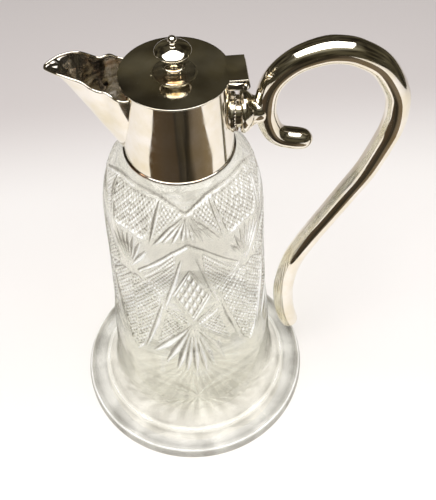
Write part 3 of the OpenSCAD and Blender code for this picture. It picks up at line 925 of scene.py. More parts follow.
@dataclass
class GlassVessel:
    """The blown and cut glass: foot, body, shoulder and neck, one closed skin."""

    foot_r: float = 73.0
    foot_h: float = 10.2
    base_r: float = 52.3
    belly_r: float = 45.7
    upper_r: float = 43.0
    height: float = 209.6
    wall: float = 4.6
    base: float = 13.0
    neck_r: float = 24.0
    neck_h: float = 10.0
    neck_wall: float = 4.2
    flutes: int = 14
    flute_dip: float = 0.45
    flute_slope: float = 0.15
    flute_in: float = 2.9
    flute_long: float = 13.5
    foot_mid: float = 5.0
    # Painted light of the foot's top, by mm inwards from its edge
    foot_painted_tones: tuple[tuple[float, float], ...] = (
        (2.6, 0.45),
        (4.0, 0.3),
        (6.0, 0.42),
        (9.5, 0.52),
        (12.0, 0.36),
        (13.4, 0.7),
        (14.4, 0.95),
        (15.6, 0.4),
        (18.0, 0.48),
        (22.0, 0.5),
    )
    under_h: float = 1.4
    stand_w: float = 12.0
    star_rays: int = 28
    star_r: float = 47.0
    star_depth: float = 1.0
    round_fine: int = 560
    cut_low: float = 66.0
    cut_high: float = 207.4
    cut_step: float = 1.12
    # How strongly the painted light and shade of the cuts follow the lean of the facets, and
    # how much the hatched patches calm them
    lift_light: float = 1.5
    side_light: float = 0.8
    slope_loss: float = 0.25
    hatch_calm: float = 0.7
    pattern: CutPattern = field(default_factory=CutPattern)

    def outside(self) -> np.ndarray:
        """Draws the outer profile from the foot's edge to the shoulder's flat.

        Returns:
            Rows of radius and height in mm.
        """
        h, foot, top = self.height, self.foot_r, self.foot_h
        rim = [
            (foot - 2.4, 0.0),
            (foot - 0.7, 0.7),
            (foot, 2.4),
            (foot, 0.6 * top),
            (foot - 1.1, top - 0.9),
            (foot - 2.3, top),
        ]
        wall = [
            (foot - 2.3, top),
            (0.5 * (foot + self.base_r), top + 2.1),
            (self.base_r + 4, top + 4.6),
            (self.base_r, top + 12),
            (self.base_r - 2.2, 0.19 * h),
            (self.belly_r + 2.4, 0.34 * h),
            (self.belly_r, 0.49 * h),
            (self.upper_r + 1.2, 0.63 * h),
            (self.upper_r, 0.79 * h),
            (self.upper_r - 0.9, 0.85 * h),
            (self.upper_r - 3, 0.9 * h),
            (self.upper_r - 5.8, 0.946 * h),
            (self.neck_r + 7.8, 0.985 * h),
            (self.neck_r + 4.2, h),
        ]
        return np.vstack([catmull(rim, 3), catmull(wall, 40)[1:]])

    def inside(self) -> np.ndarray:
        """Draws the inner profile from the neck's lip to the floor of the vessel.

        Returns:
            Rows of radius and height in mm.
        """
        h, wall, neck = self.height, self.wall, self.neck_r - self.neck_wall
        return catmull(
            [
                (neck, h + self.neck_h),
                (neck, h + 1),
                (neck + 1.6, h - 6),
                (self.upper_r - 11, 0.935 * h),
                (self.upper_r - 7, 0.885 * h),
                (self.upper_r - wall, 0.78 * h),
                (self.upper_r + 1.2 - wall, 0.63 * h),
                (self.belly_r - wall, 0.49 * h),
                (self.belly_r + 2.4 - wall, 0.34 * h),
                (self.base_r - 2.2 - wall, 0.19 * h),
                (self.base_r - 3 - wall, self.base + 12),
                (self.base_r - 8 - wall, self.base + 2.6),
                (self.base_r - 18 - wall, self.base),
            ],
            3,
        )

    def star(self, r: float, degrees: np.ndarray) -> np.ndarray:
        """Finds the height of the star cut under the foot.

        Args:
            r: distance from the middle in mm.
            degrees: azimuths.

        Returns:
            Heights in mm.
        """
        ray = 360.0 / self.star_rays
        off = np.abs((degrees + ray / 2) % ray - ray / 2) / (ray / 2)
        reach = np.clip((self.star_r - r) / 9.0, 0, 1) * np.clip(r / 8.0, 0.15, 1)
        return self.under_h + self.star_depth * reach * (1 - off)

    def rings(self) -> list[np.ndarray]:
        """Lays out the rings of the skin, from the middle of the underside, up the
        outside, over the neck and down the inside to the vessel's floor.

        Returns:
            Rings of points in mm, each with the fine, half or quarter number of points.
        """
        rings: list[np.ndarray] = []
        fine, half, quarter = (self.round_fine // k for k in (1, 2, 4))

        def degrees(n: int) -> np.ndarray:
            """Azimuths of a ring of n points."""
            return np.arange(n) * 360.0 / n

        def place(r: np.ndarray | float, z: np.ndarray | float, n: int) -> None:
            """Adds a ring of n points at that radius and height."""
            turn = np.radians(degrees(n))
            r, z = np.broadcast_to(r, n), np.broadcast_to(z, n)
            rings.append(np.stack([r * np.cos(turn), r * np.sin(turn), z], -1))

        for r in (3.0, 8.0, 16.0, 24.0, 32.0, 38.5, 41.5, 44.5, self.star_r):
            place(r, self.star(r, degrees(half)), half)
        inner_ring = self.foot_r - self.stand_w
        place(inner_ring - 1.5, self.under_h, half)
        place(inner_ring, 0.0, half)
        self.stand_ring = len(rings) - 1

        profile = self.outside()
        gap = np.hypot(*np.diff(profile, axis=0).T)
        run = np.concatenate([[0.0], np.cumsum(gap)])
        at_z = np.interp(
            [self.foot_h, 30.0, self.cut_low, self.cut_high], profile[:, 1], run
        )
        stations = [
            *np.linspace(0.0, at_z[0], 10)[:-1],
            *np.linspace(at_z[0], at_z[1], 17)[:-1],
            *np.linspace(at_z[1], at_z[2], 9)[:-1],
        ]
        rows = round((at_z[3] - at_z[2]) / self.cut_step)
        cut_rows = np.linspace(at_z[2], at_z[3], rows)
        above = np.linspace(at_z[3], run[-1], 4)[1:]
        flute = 360.0 / self.flutes
        for s in stations:
            r, z = (np.interp(s, run, profile[:, k]) for k in (0, 1))
            turn = degrees(half)
            off = np.radians(turn % flute - flute / 2)
            rise = self.flute_slope * (self.foot_r - self.flute_in - r * np.cos(off))
            plane = self.foot_h - self.flute_dip + rise
            cut = (z > self.foot_mid) & (r > self.foot_r - self.flute_long)
            place(r, np.minimum(z, plane) if cut else z, half)
        self.fine_start = len(rings)
        slope = np.gradient(profile, run, axis=0)
        turn = degrees(fine)
        for s in cut_rows:
            r, z, dr, dz = (
                np.interp(s, run, column)
                for column in (profile[:, 0], profile[:, 1], slope[:, 0], slope[:, 1])
            )
            deep = self.pattern.depth(turn, np.full(fine, z))
            norm = math.hypot(dr, dz)
            place(r - deep * dz / norm, z + deep * dr / norm, fine)
        self.fine_end = len(rings)
        self.fine_z = [np.interp(s, run, profile[:, 1]) for s in cut_rows]
        for s in above:
            r, z = (np.interp(s, run, profile[:, k]) for k in (0, 1))
            place(r, z, half)
        place(self.neck_r, self.height + 0.01, half)
        place(self.neck_r, self.height + self.neck_h - 0.6, quarter)
        place(self.neck_r - 0.6, self.height + self.neck_h, quarter)
        for r, z in self.inside():
            place(r, z, quarter)
        place(14.0, self.base, quarter)
        return rings

    def stitch(self, rings: list[np.ndarray]) -> list[tuple[int, ...]]:
        """Joins neighbouring rings. Between rings of unlike number it makes fans, and on
        the cut rings each square is split along the way that the cuts run.

        Args:
            rings: the rings of points.

        Returns:
            The faces.
        """
        starts = np.concatenate([[0], np.cumsum([len(r) for r in rings])])
        faces: list[tuple[int, ...]] = []
        for i in range(len(rings) - 1):
            a, b = int(starts[i]), int(starts[i + 1])
            n, m = len(rings[i]), len(rings[i + 1])
            if self.fine_start <= i < self.fine_end - 1:
                faces += self.split_band(i, a, b, n, rings)
            elif n == m:
                faces += ring_band(a, b, n)
            elif n > m:
                for k in range(m):
                    low = [a + 2 * k, a + 2 * k + 1, a + (2 * k + 2) % n]
                    high = [b + k, b + (k + 1) % m]
                    faces += [
                        (low[0], low[1], high[0]),
                        (low[1], high[1], high[0]),
                        (low[1], low[2], high[1]),
                    ]
            else:
                for k in range(n):
                    low = [a + k, a + (k + 1) % n]
                    high = [b + 2 * k, b + 2 * k + 1, b + (2 * k + 2) % m]
                    faces += [
                        (low[0], high[1], high[0]),
                        (low[0], low[1], high[1]),
                        (low[1], high[2], high[1]),
                    ]
        return faces

    def split_band(
        self, i: int, a: int, b: int, n: int, rings: list[np.ndarray]
    ) -> list[tuple[int, int, int]]:
        """Splits the squares of one cut band into triangles.

        Args:
            i: the band's lower ring.
            a: the lower ring's first index.
            b: the upper ring's first index.
            n: points in a ring.
            rings: the rings of points.

        Returns:
            Two triangles for each square.
        """
        k = np.arange(n)
        nxt = (k + 1) % n
        row = i - self.fine_start
        low_z, high_z = self.fine_z[row], self.fine_z[row + 1]
        turn = (k + 0.5) * 360.0 / n
        mid = self.pattern.depth(turn, np.full(n, 0.5 * (low_z + high_z)))
        low = self.pattern.depth(k * 360.0 / n, np.full(n, low_z))
        high = self.pattern.depth(k * 360.0 / n, np.full(n, high_z))
        rising = np.abs(0.5 * (low + high[nxt]) - mid)
        falling = np.abs(0.5 * (low[nxt] + high) - mid)
        rise = rising <= falling
        first = np.where(
            rise[:, None],
            np.stack([a + k, a + nxt, b + nxt], -1),
            np.stack([a + k, a + nxt, b + k], -1),
        )
        second = np.where(
            rise[:, None],
            np.stack([a + k, b + nxt, b + k], -1),
            np.stack([a + nxt, b + nxt, b + k], -1),
        )
        return np.vstack([first, second]).tolist()

    def foot_painted_light(self, radius: float, height: float, turn: np.ndarray) -> np.ndarray:
        """Finds the painted light and shade of the foot along one ring.

        The upright edge is painted dark, as shade where it turns the light away. The edges of
        the flutes ground along the rim get painted highlights.

        Args:
            radius: the ring's radius in mm.
            height: its height in mm.
            turn: azimuths in radians.

        Returns:
            The painted light of each point, from 0 to 1.
        """
        inwards = self.foot_r - radius
        if height < 1.0 and inwards < 3.0:
            level = 0.0
        elif inwards < 0.6:
            level = 0.02 + 0.12 * (height / self.foot_h)
        elif inwards < 2.0 and height > self.foot_mid:
            level = 0.95
        elif height > self.foot_mid:
            level = float(np.interp(inwards, *zip(*self.foot_painted_tones)))
        else:
            level = 0.5
        # Painted highlights and shade that rise and fall with the flutes round the rim
        flute = np.cos(self.flutes * turn)
        loss = 0.14 if inwards > 2.0 else 0.0
        return np.full_like(turn, level - loss) + 0.1 * flute * (0.6 < inwards < 16.0)

    def paint_cut_light(self, mesh: bpy.types.Mesh, rings: list[np.ndarray]) -> None:
        """Writes the painted light and shade of each place of the cuts, as an attribute.

        A facet that leans up and left of the plain surface is painted lighter, and one that
        leans down and right is painted darker, as shade.

        Args:
            mesh: the glass.
            rings: its rings of points, in the mesh's order.
        """
        normals = np.empty(len(mesh.vertices) * 3)
        mesh.vertices.foreach_get("normal", normals)
        normals = normals.reshape(-1, 3)
        tone = np.full(len(normals), 0.5)
        hatch = np.zeros((len(normals), 3))
        start = 0
        for number, ring in enumerate(rings):
            n = len(ring)
            turn = np.arctan2(ring[:, 1], ring[:, 0])
            if self.stand_ring < number < self.fine_start:
                radius, height = np.hypot(ring[:, 0], ring[:, 1]).mean(), ring[:, 2].mean()
                tone[start : start + n] = self.foot_painted_light(radius, height, turn)
                start += n
                continue
            if number < self.fine_end:
                x = self.pattern.fold(np.degrees(turn))
                patches = self.pattern.fields()
                cover = [self.pattern.cover(p, x, ring[:, 2]) for p in patches]
                hatch[start : start + n] = np.stack(
                    [x, ring[:, 2], np.max(cover, axis=0)], -1
                )
            at = normals[start : start + n]
            out = at[:, 0] * np.cos(turn) + at[:, 1] * np.sin(turn)
            across = -at[:, 0] * np.sin(turn) + at[:, 1] * np.cos(turn)
            lift = at[:, 2] - np.median(at[:, 2])
            swing = np.abs(out - np.median(out)) + np.abs(across) + np.abs(lift)
            # Painted light and shade: lighter where a facet leans up and left, darker where it
            # leans down and right, and darker the more it leans from the plain surface
            tone[start : start + n] += (
                self.lift_light * lift
                - self.side_light * across
                - self.slope_loss * swing
            )
            start += n
        # The hatched patches get calmer painted light and shade
        tone = 0.5 + (tone - 0.5) * (1 - self.hatch_calm * hatch[:, 2])
        layer = mesh.attributes.new("cut_light", "FLOAT", "POINT")
        layer.data.foreach_set("value", np.clip(tone, 0.0, 1.0))
        layer = mesh.attributes.new("cut_hatch", "FLOAT_VECTOR", "POINT")
        layer.data.foreach_set("vector", hatch.ravel())

    def build(self, material: bpy.types.Material) -> None:
        """Builds and dresses the glass.

        Args:
            material: the crystal.
        """
        rings = self.rings()
        faces = [tuple(f) for f in self.stitch(rings)]
        points = np.vstack(rings)
        low, high = len(points), len(points) + 1
        first, last = len(rings[0]), len(rings[-1])
        top = len(points) - last
        middle = self.under_h + 0.15 * self.star_depth
        points = np.vstack([points, [0, 0, middle], [0, 0, self.base]])
        faces += [(low, (k + 1) % first, k) for k in range(first)]
        faces += [(high, top + k, top + (k + 1) % last) for k in range(last)]
        glass = mesh_object("cut_glass_vessel", points, faces, sharp_deg=14.0)
        self.paint_cut_light(glass.data, rings)
        dress(glass, Body.JUG, material, ("glass_body",))


# Tubes and wires that follow a path


def path_object(name: str, points: np.ndarray, radii: np.ndarray) -> bpy.types.Object:
    """Makes a curve object through points, with a radius at each.

    Args:
        name: the object's name.
        points: the path in mm.
        radii: the tube's radius at each point, in mm.

    Returns:
        The curve object.
    """
    data = bpy.data.curves.new(name, "CURVE")
    data.dimensions = "3D"
    data.twist_mode = "MINIMUM"
    line = data.splines.new("POLY")
    line.points.add(len(points) - 1)
    for spot, place, radius in zip(line.points, points, radii):
        spot.co = (*(place * MM), 1.0)
        spot.radius = radius * MM
    return new_object(name, data)


def tube_tree() -> bpy.types.NodeTree:
    """Builds the tree that draws a round tube along a curve of changing radius.

    Returns:
        The Geometry Nodes tree, with inputs for its sides and its material.
    """
    tree = bpy.data.node_groups.new("tube_along_path", "GeometryNodeTree")
    face = tree.interface
    face.new_socket("Path", in_out="INPUT", socket_type="NodeSocketGeometry")
    sides = face.new_socket("Sides", in_out="INPUT", socket_type="NodeSocketInt")
    sides.default_value = 24
    face.new_socket("Finish", in_out="INPUT", socket_type="NodeSocketMaterial")
    face.new_socket("Tube", in_out="OUTPUT", socket_type="NodeSocketGeometry")
    add = partial(add_node, tree)
    given = add("NodeGroupInput").outputs
    section = add(
        "GeometryNodeCurvePrimitiveCircle", {"Radius": 1.0, "Resolution": given["Sides"]}
    )
    sweep = add(
        "GeometryNodeCurveToMesh",
        {
            "Fill Caps": True,
            "Curve": given["Path"],
            "Profile Curve": section,
            "Scale": add("GeometryNodeInputRadius"),
        },
    )
    real = add("GeometryNodeRealizeInstances", {"Geometry": sweep})
    finish = add("GeometryNodeSetMaterial", {"Geometry": real, "Material": given["Finish"]})
    add("NodeGroupOutput", {"Tube": finish})
    return tree


def run_tree(
    obj: bpy.types.Object, tree: bpy.types.NodeTree, values: dict[str, object]
) -> bpy.types.Object:
    """Runs a Geometry Nodes tree on an object and bakes the result.

    Args:
        obj: the object that the tree starts from.
        tree: the tree.
        values: the tree's inputs by name.

    Returns:
        A plain mesh object.
    """
    modifier = obj.modifiers.new(tree.name, "NODES")
    modifier.node_group = tree
    for socket in tree.interface.items_tree:
        if socket.in_out == "INPUT" and socket.name in values:
            modifier[socket.identifier] = values[socket.name]
    return plain_mesh(obj)


def sweep(
    name: str,
    points: np.ndarray,
    radii: np.ndarray,
    sides: int,
    material: bpy.types.Material,
    sharp_deg: float = 50.0,
) -> bpy.types.Object:
    """Draws a round tube along a path.

    Args:
        name: the object's name.
        points: the path in mm.
        radii: the tube's radius at each point, in mm.
        sides: how many faces go round the tube.
        material: its material.
        sharp_deg: edges that bend more than this stay sharp.

    Returns:
        The tube as a plain mesh object.
    """
    tree = bpy.data.node_groups.get("tube_along_path") or tube_tree()
    path = path_object(name, points, radii)
    tube = run_tree(path, tree, {"Sides": sides, "Finish": material})
    face_outwards(tube.data)
    smooth_by_angle(tube.data, sharp_deg)
    return tube


def face_outwards(mesh: bpy.types.Mesh) -> None:
    """Merges a mesh's doubles and turns its faces outwards.

    Args:
        mesh: the closed mesh to mend.
    """
    shape = bmesh.new()
    shape.from_mesh(mesh)
    bmesh.ops.remove_doubles(shape, verts=shape.verts, dist=1e-7)
    bmesh.ops.recalc_face_normals(shape, faces=shape.faces)
    if shape.calc_volume(signed=True) < 0:
        bmesh.ops.reverse_faces(shape, faces=shape.faces)
    shape.to_mesh(mesh)
    shape.free()


# The collar and the spout


@dataclass
class Collar:
    """The conical sheet collar, its lower edge wire and the bedding behind it."""

    low_r: float = 27.4
    mouth_r: float = 25.1
    low_z: float = 209.6
    height: float = 44.5
    sheet: float = 0.9
    wire_r: float = 0.8
    seat_gap: float = 0.05
    wire_sunk: float = 0.06
    wire_up: float = 0.06
    window_z: float = 221.1
    sides: int = 360
    rows: int = 14

    @property
    def mouth_z(self) -> float:
        """Height of the collar's mouth in mm."""
        return self.low_z + self.height

    def radius(self, z: float | np.ndarray) -> float | np.ndarray:
        """Outer radius of the collar at a height, in mm."""
        return self.low_r + (self.mouth_r - self.low_r) * (z - self.low_z) / self.height

    def build(self, silver: bpy.types.Material, spout: "Spout") -> None:
        """Builds the collar, which stays open behind the spout.

        Args:
            silver: the silver plate.
            spout: the spout, whose sides bound the opening.
        """
        turn = np.arange(self.sides) * 2 * math.pi / self.sides
        side = np.array([spout.line(k / 40, 0.0, 1.0) for k in range(41)])
        half = np.abs(self.mouth_r * np.sin(turn))
        behind = (np.cos(turn) < 0) & (half < side[-1, 1])
        edge = np.maximum(np.interp(half, side[:, 1], side[:, 2]), self.window_z)
        top = np.where(behind, edge, self.mouth_z)
        share = np.linspace(0, 1, self.rows)[:, None]
        low = self.low_z + self.seat_gap
        z = low + (top - low) * share
        skins = []
        for inset in (0.0, self.sheet):
            r = self.radius(z) - inset
            skins.append(np.stack([r * np.cos(turn), r * np.sin(turn), z], -1))
        outer, inner = skins
        rings = np.concatenate([outer, inner[::-1]])
        faces: list[tuple[int, ...]] = []
        count = len(rings)
        for i in range(count):
            a, b = i * self.sides, ((i + 1) % count) * self.sides
            faces += ring_band(a, b, self.sides)
        collar = mesh_object("collar_sheet", rings.reshape(-1, 3), faces)
        dress_silver(collar, Body.JUG, silver, "collar")

        bead = np.linspace(-0.5 * math.pi, 0.5 * math.pi, 17)
        out = self.low_r + self.wire_r * (np.cos(bead) - self.wire_sunk)
        up = self.low_z + self.wire_up + self.wire_r * (1 + np.sin(bead))
        profile = np.stack([out, up], -1)
        wire = turned("collar_edge_wire_half_round", profile, self.sides // 2, 50)
        write_unwiped(wire.data, np.full(len(wire.data.vertices), 0.9))
        dress_silver(wire, Body.JUG, silver, "collar_edge_wire")


@dataclass
class Spout:
    """The formed sheet spout and the moulding along its scalloped rim."""

    collar: Collar
    reach: float = 56.8
    rise: float = 9.2
    half_w: float = 15.6
    keel_z: float = 1.9
    wall: float = 1.1
    rim_h: float = 1.0
    rim_inset: float = 0.35
    rim_end_r: float = 0.35
    lip_turn: float = 0.104
    lip_power: float = 2.2
    section_power: float = 1.67
    keel_slant: float = 2.2
    dent_mm: float = 3.6
    dent_height: float = 0.42
    rows: int = 96
    cols: int = 36
    rim: tuple[tuple[float, float, float], ...] = (
        (0.00, -0.13, 0.96),
        (0.08, -0.13, 1.00),
        (0.17, 0.01, 1.00),
        (0.235, 0.23, 0.95),
        (0.295, 0.31, 0.85),
        (0.355, 0.29, 0.795),
        (0.42, 0.39, 0.775),
        (0.48, 0.55, 0.75),
        (0.54, 0.74, 0.70),
        (0.60, 0.87, 0.665),
        (0.66, 0.94, 0.63),
        (0.72, 0.99, 0.57),
        (0.78, 1.02, 0.50),
        (0.845, 1.03, 0.42),
        (0.905, 1.01, 0.31),
        (0.96, 0.99, 0.20),
        (1.00, 0.97, 0.10),
    )

    def __post_init__(self) -> None:
        """Works out where the spout starts and where its lip turns out."""
        self.root_x = -math.sqrt(self.collar.mouth_r**2 - (0.96 * self.half_w) ** 2)
        self.lip_x = -(self.reach - self.lip_turn * self.reach)
        self.lip_z = self.collar.mouth_z + 0.5 * self.rise

    def along(self, x: float, column: int) -> float:
        """Reads the rim's table at a place.

        Args:
            x: the place along X in mm.
            column: 1 for the share of the rise, 2 for the share of the half width.

        Returns:
            The share, on a smooth curve through the table.
        """
        s = min(max((x - self.root_x) / (-self.reach - self.root_x), 0.0), 1.0)
        rim, last = self.rim, len(self.rim) - 1
        i = next((k for k in range(last - 1) if s <= rim[k + 1][0]), last - 1)
        u = (s - rim[i][0]) / (rim[i + 1][0] - rim[i][0])
        a, b, c, d = (rim[min(max(k, 0), last)][column] for k in range(i - 1, i + 3))
        return between(a, b, c, d, u)

    def rim_z(self, x: float) -> float:
        """Height of the sheet's rim in mm."""
        return self.collar.mouth_z - self.rim_h + self.rise * self.along(x, 1)

    def keel_at(self, x: float) -> float:
        """Finds the height of the keel, straight at first and turned up at the lip.

        Args:
            x: the place along X in mm.

        Returns:
            The height in mm.
        """
        start_z = self.collar.low_z + self.keel_z
        if x > self.lip_x:
            run = (x + self.collar.low_r) / (self.lip_x + self.collar.low_r)
            return start_z + (self.lip_z - start_z) * run
        u = (x - self.lip_x) / (-self.reach - self.lip_x)
        end_z = self.rim_z(-self.reach) - 0.5
        return self.lip_z + (end_z - self.lip_z) * (1 - (1 - u) ** self.lip_power)

    def point(self, x: float, t: float, inset: float) -> tuple[float, float, float]:
        """Finds a point of the spout's skin.

        Args:
            x: the place along X in mm.
            t: from -1 at one rim, over 0 at the keel, to 1 at the other.
            inset: 0 for the outer skin and 1 for the inner one.

        Returns:
            The point in mm.
        """
        width = self.half_w * self.along(x, 2)
        depth = self.rim_z(x) - self.keel_at(x)
        floor = inset * min(self.keel_slant * self.wall, 0.5 * depth)
        half = width - inset * min(self.wall, 0.6 * width)
        rise = (depth - floor) * abs(t) ** self.section_power
        return (x, half * t, self.keel_at(x) + floor + rise)

    def line(self, t: float, s: float, inset: float) -> tuple[float, float, float]:
        """Finds a point on a line that runs from the collar to the tip.

        Args:
            t: which line, from -1 to 1.
            s: the share of the way from the collar to the tip.
            inset: 0 for the outer skin and 1 for the inner one.

        Returns:
            The point in mm.
        """
        start = -25.0
        for _ in range(12):
            _, y, z = self.point(start, t, inset)
            start = -math.sqrt(max(self.collar.radius(z) ** 2 - y * y, 1.0))
        return self.point(start + (-self.reach - start) * s, t, inset)

    def dent(self, spot: np.ndarray) -> float:
        """Finds how far the hammered inner skin stands up at a point, in mm."""
        place = Vector(spot) / self.dent_mm
        return self.dent_height * (noise.noise(place) + 0.5 * noise.noise(place * 2.1))

    def build(self, silver: bpy.types.Material) -> None:
        """Builds the sheet and its rim moulding.

        Args:
            silver: the silver plate.
        """
        ts = [k / self.cols for k in range(-self.cols, self.cols + 1)]
        shares = [i / self.rows for i in range(self.rows + 1)]
        skins = [
            np.array([[self.line(t, s, inset) for t in ts] for s in shares])
            for inset in (0.0, 1.0)
        ]
        rows, n = len(shares), len(ts)
        count = rows * n
        points = np.concatenate([skin.reshape(-1, 3) for skin in skins])
        faces: list[tuple[int, ...]] = []
        for i in range(rows - 1):
            for j in range(n - 1):
                p = i * n + j
                faces.append((p, p + 1, p + n + 1, p + n))
                q = p + count
                faces.append((q, q + n, q + n + 1, q + 1))
        edge = (
            list(range(n))
            + [i * n + n - 1 for i in range(1, rows)]
            + [(rows - 1) * n + j for j in range(n - 2, -1, -1)]
            + [i * n for i in range(rows - 2, 0, -1)]
        )
        for a, b in zip(edge, edge[1:] + edge[:1]):
            faces.append((a, a + count, b + count, b))
        points[count:, 2] += [self.dent(spot) for spot in points[count:]]
        sheet = mesh_object("spout_sheet", points, faces, 60)
        write_unwiped(sheet.data, np.repeat([0.0, 1.0], count))
        face_outwards(sheet.data)
        smooth_by_angle(sheet.data, 60)
        dress_silver(sheet, Body.JUG, silver, "spout")

        steps = np.concatenate([[0.02], np.arange(1, self.rows + 1) / self.rows])
        near = [self.line(-1.0, s, self.rim_inset) for s in steps]
        far = [self.line(1.0, s, self.rim_inset) for s in steps[::-1]]
        path = np.array(near + far) + (0.0, 0.0, 0.5 * self.rim_h)
        around = [path[max(k - 1, 0) : min(k + 2, len(path))] for k in range(len(path))]
        path = np.array([spots.mean(0) for spots in around])
        radii = np.full(len(path), 0.5 * self.wall)
        radii[0] = radii[-1] = self.rim_end_r
        rim = sweep("spout_rim_moulding", path, radii, 16, silver)
        dress_silver(rim, Body.JUG, silver, "spout_rim")


# The handle and its socket


@dataclass
class Socket:
    """The socket between the collar and the handle, with its beaded ring."""

    collar: Collar
    height: float = 19.5
    plate_r: float = 10.0
    plate_t: float = 0.9
    bead_h: float = 1.5
    bead_w: float = 1.6
    bead_r: float = 0.78
    beads: int = 34
    fit: float = 0.2
    knop_r: float = 10.8
    knop_w: float = 6.4
    ferrule_r: float = 7.0
    dowel_r: float = 2.0
    clear: float = 0.03
    band_share: float = 0.55
    sides: int = 128

    @property
    def axis_z(self) -> float:
        """Height of the socket's axis in mm."""
        return self.collar.low_z + self.height

    @property
    def seat_x(self) -> float:
        """Distance of the collar's surface from the jug's axis at the socket, in mm."""
        return float(self.collar.radius(self.axis_z))

    @property
    def ring_r(self) -> float:
        """Outer radius of the beaded ring in mm."""
        return self.plate_r - 0.3

    @property
    def cone(self) -> float:
        """How much the collar's radius falls with each mm of height."""
        return (self.collar.low_r - self.collar.mouth_r) / self.collar.height

    def sag(self, x: np.ndarray, y: np.ndarray) -> np.ndarray:
        """Finds how far the collar's surface lies beyond the socket's seat.

        Args:
            x: mm downwards from the socket's axis.
            y: mm sideways from it.

        Returns:
            Distances along the axis in mm, negative where the collar curves away.
        """
        return np.sqrt((self.seat_x + self.cone * x) ** 2 - y**2) - self.seat_x

    def lay_down(self, obj: bpy.types.Object, from_x: float) -> None:
        """Turns a piece made round Z to lie on the socket's axis.

        Args:
            obj: the piece, made round the Z axis from height 0.
            from_x: where its height 0 goes, in mm from the jug's axis.
        """
        turn = Matrix.Rotation(math.radians(90), 4, "Y")
        move = Matrix.Translation((from_x * MM, 0.0, self.axis_z * MM))
        obj.data.transform(move @ turn)

    def bend(self, obj: bpy.types.Object, below: float) -> None:
        """Bends the lower part of a piece, made round Z, to the collar.

        Args:
            obj: the piece, with its heights measured from the collar.
            below: the height in mm under which points are moved.
        """
        for spot in obj.data.vertices:
            if spot.co.z < below * MM:
                spot.co.z += self.sag(spot.co.x / MM, spot.co.y / MM) * MM

    def bead_tree(self) -> bpy.types.NodeTree:
        """Builds the tree that sets round beads along a ring which follows the collar.

        Returns:
            The Geometry Nodes tree.
        """
        tree = bpy.data.node_groups.new("beads_round_a_ring", "GeometryNodeTree")
        add = partial(add_node, tree)
        face = tree.interface
        face.new_socket("Ring", in_out="INPUT", socket_type="NodeSocketGeometry")
        for name in ("Ring Radius", "Bead Radius", "Seat Radius", "Cone", "Lift"):
            face.new_socket(name, in_out="INPUT", socket_type="NodeSocketFloat")
        face.new_socket("Count", in_out="INPUT", socket_type="NodeSocketInt")
        face.new_socket("Finish", in_out="INPUT", socket_type="NodeSocketMaterial")
        face.new_socket("Beads", in_out="OUTPUT", socket_type="NodeSocketGeometry")
        given = add("NodeGroupInput").outputs
        circle = add(
            "GeometryNodeCurvePrimitiveCircle",
            {"Resolution": 96, "Radius": given["Ring Radius"]},
        )
        position = add("GeometryNodeInputPosition")
        flat = add("ShaderNodeSeparateXYZ", {"Vector": position}).outputs
        seat = given["Seat Radius"]
        fall = add(MATH, {"operation": "MULTIPLY", 0: flat["X"], 1: given["Cone"]})
        radius = add(MATH, {"operation": "ADD", 0: seat, 1: fall})
        square = add(MATH, {"operation": "MULTIPLY", 0: radius, 1: radius})
        aside = add(MATH, {"operation": "MULTIPLY", 0: flat["Y"], 1: flat["Y"]})
        left = add(MATH, {"operation": "SUBTRACT", 0: square, 1: aside})
        reach = add(MATH, {"operation": "SQRT", 0: left})
        sunk = add(MATH, {"operation": "SUBTRACT", 0: reach, 1: seat})
        height = add(MATH, {"operation": "ADD", 0: sunk, 1: given["Lift"]})
        bent = add("ShaderNodeCombineXYZ", {"X": flat["X"], "Y": flat["Y"], "Z": height})
        saddle = add("GeometryNodeSetPosition", {"Geometry": circle, "Position": bent})
        spots = add(
            "GeometryNodeCurveToPoints",
            {"mode": "COUNT", "Curve": saddle, "Count": given["Count"]},
        )
        bead = add(
            "GeometryNodeMeshUVSphere",
            {"Segments": 16, "Rings": 10, "Radius": given["Bead Radius"]},
        )
        row = add("GeometryNodeInstanceOnPoints", {"Points": spots, "Instance": bead})
        both = add("GeometryNodeJoinGeometry", {"Geometry": [row, given["Ring"]]})
        real = add("GeometryNodeRealizeInstances", {"Geometry": both})
        finish = add("GeometryNodeSetMaterial", {"Geometry": real, "Material": given["Finish"]})
        add("NodeGroupOutput", {"Beads": finish})
        return tree

    def build(self, silver: bpy.types.Material) -> None:
        """Builds the turned pieces.

        Args:
            silver: the silver plate.
        """
        plate = from_node("socket_backplate", "handle_backplate")
        dress_silver(plate, Body.JUG, silver, "handle_backplate")

        outer, inner = self.ring_r, self.ring_r - self.bead_w
        low, high = self.plate_t + self.clear, self.plate_t + self.band_share * self.bead_h
        ring = turned(
            "socket_beaded_ring",
            np.array([(inner, low), (outer, low), (outer, high), (inner, high)]),
            self.sides,
        )
        self.bend(ring, high + 1)
        values = {
            "Ring Radius": (outer - 0.5 * self.bead_w) * MM,
            "Bead Radius": self.bead_r * MM,
            "Seat Radius": self.seat_x * MM,
            "Cone": self.cone,
            "Lift": (self.plate_t + self.bead_h - self.bead_r) * MM,
            "Count": self.beads,
            "Finish": silver,
        }
        beaded = run_tree(ring, self.bead_tree(), values)
        smooth_by_angle(beaded.data, 40)
        write_unwiped(beaded.data, np.full(len(beaded.data.vertices), 0.7))
        self.lay_down(beaded, self.seat_x)
        dress_silver(beaded, Body.JUG, silver, "handle_bead_ring")

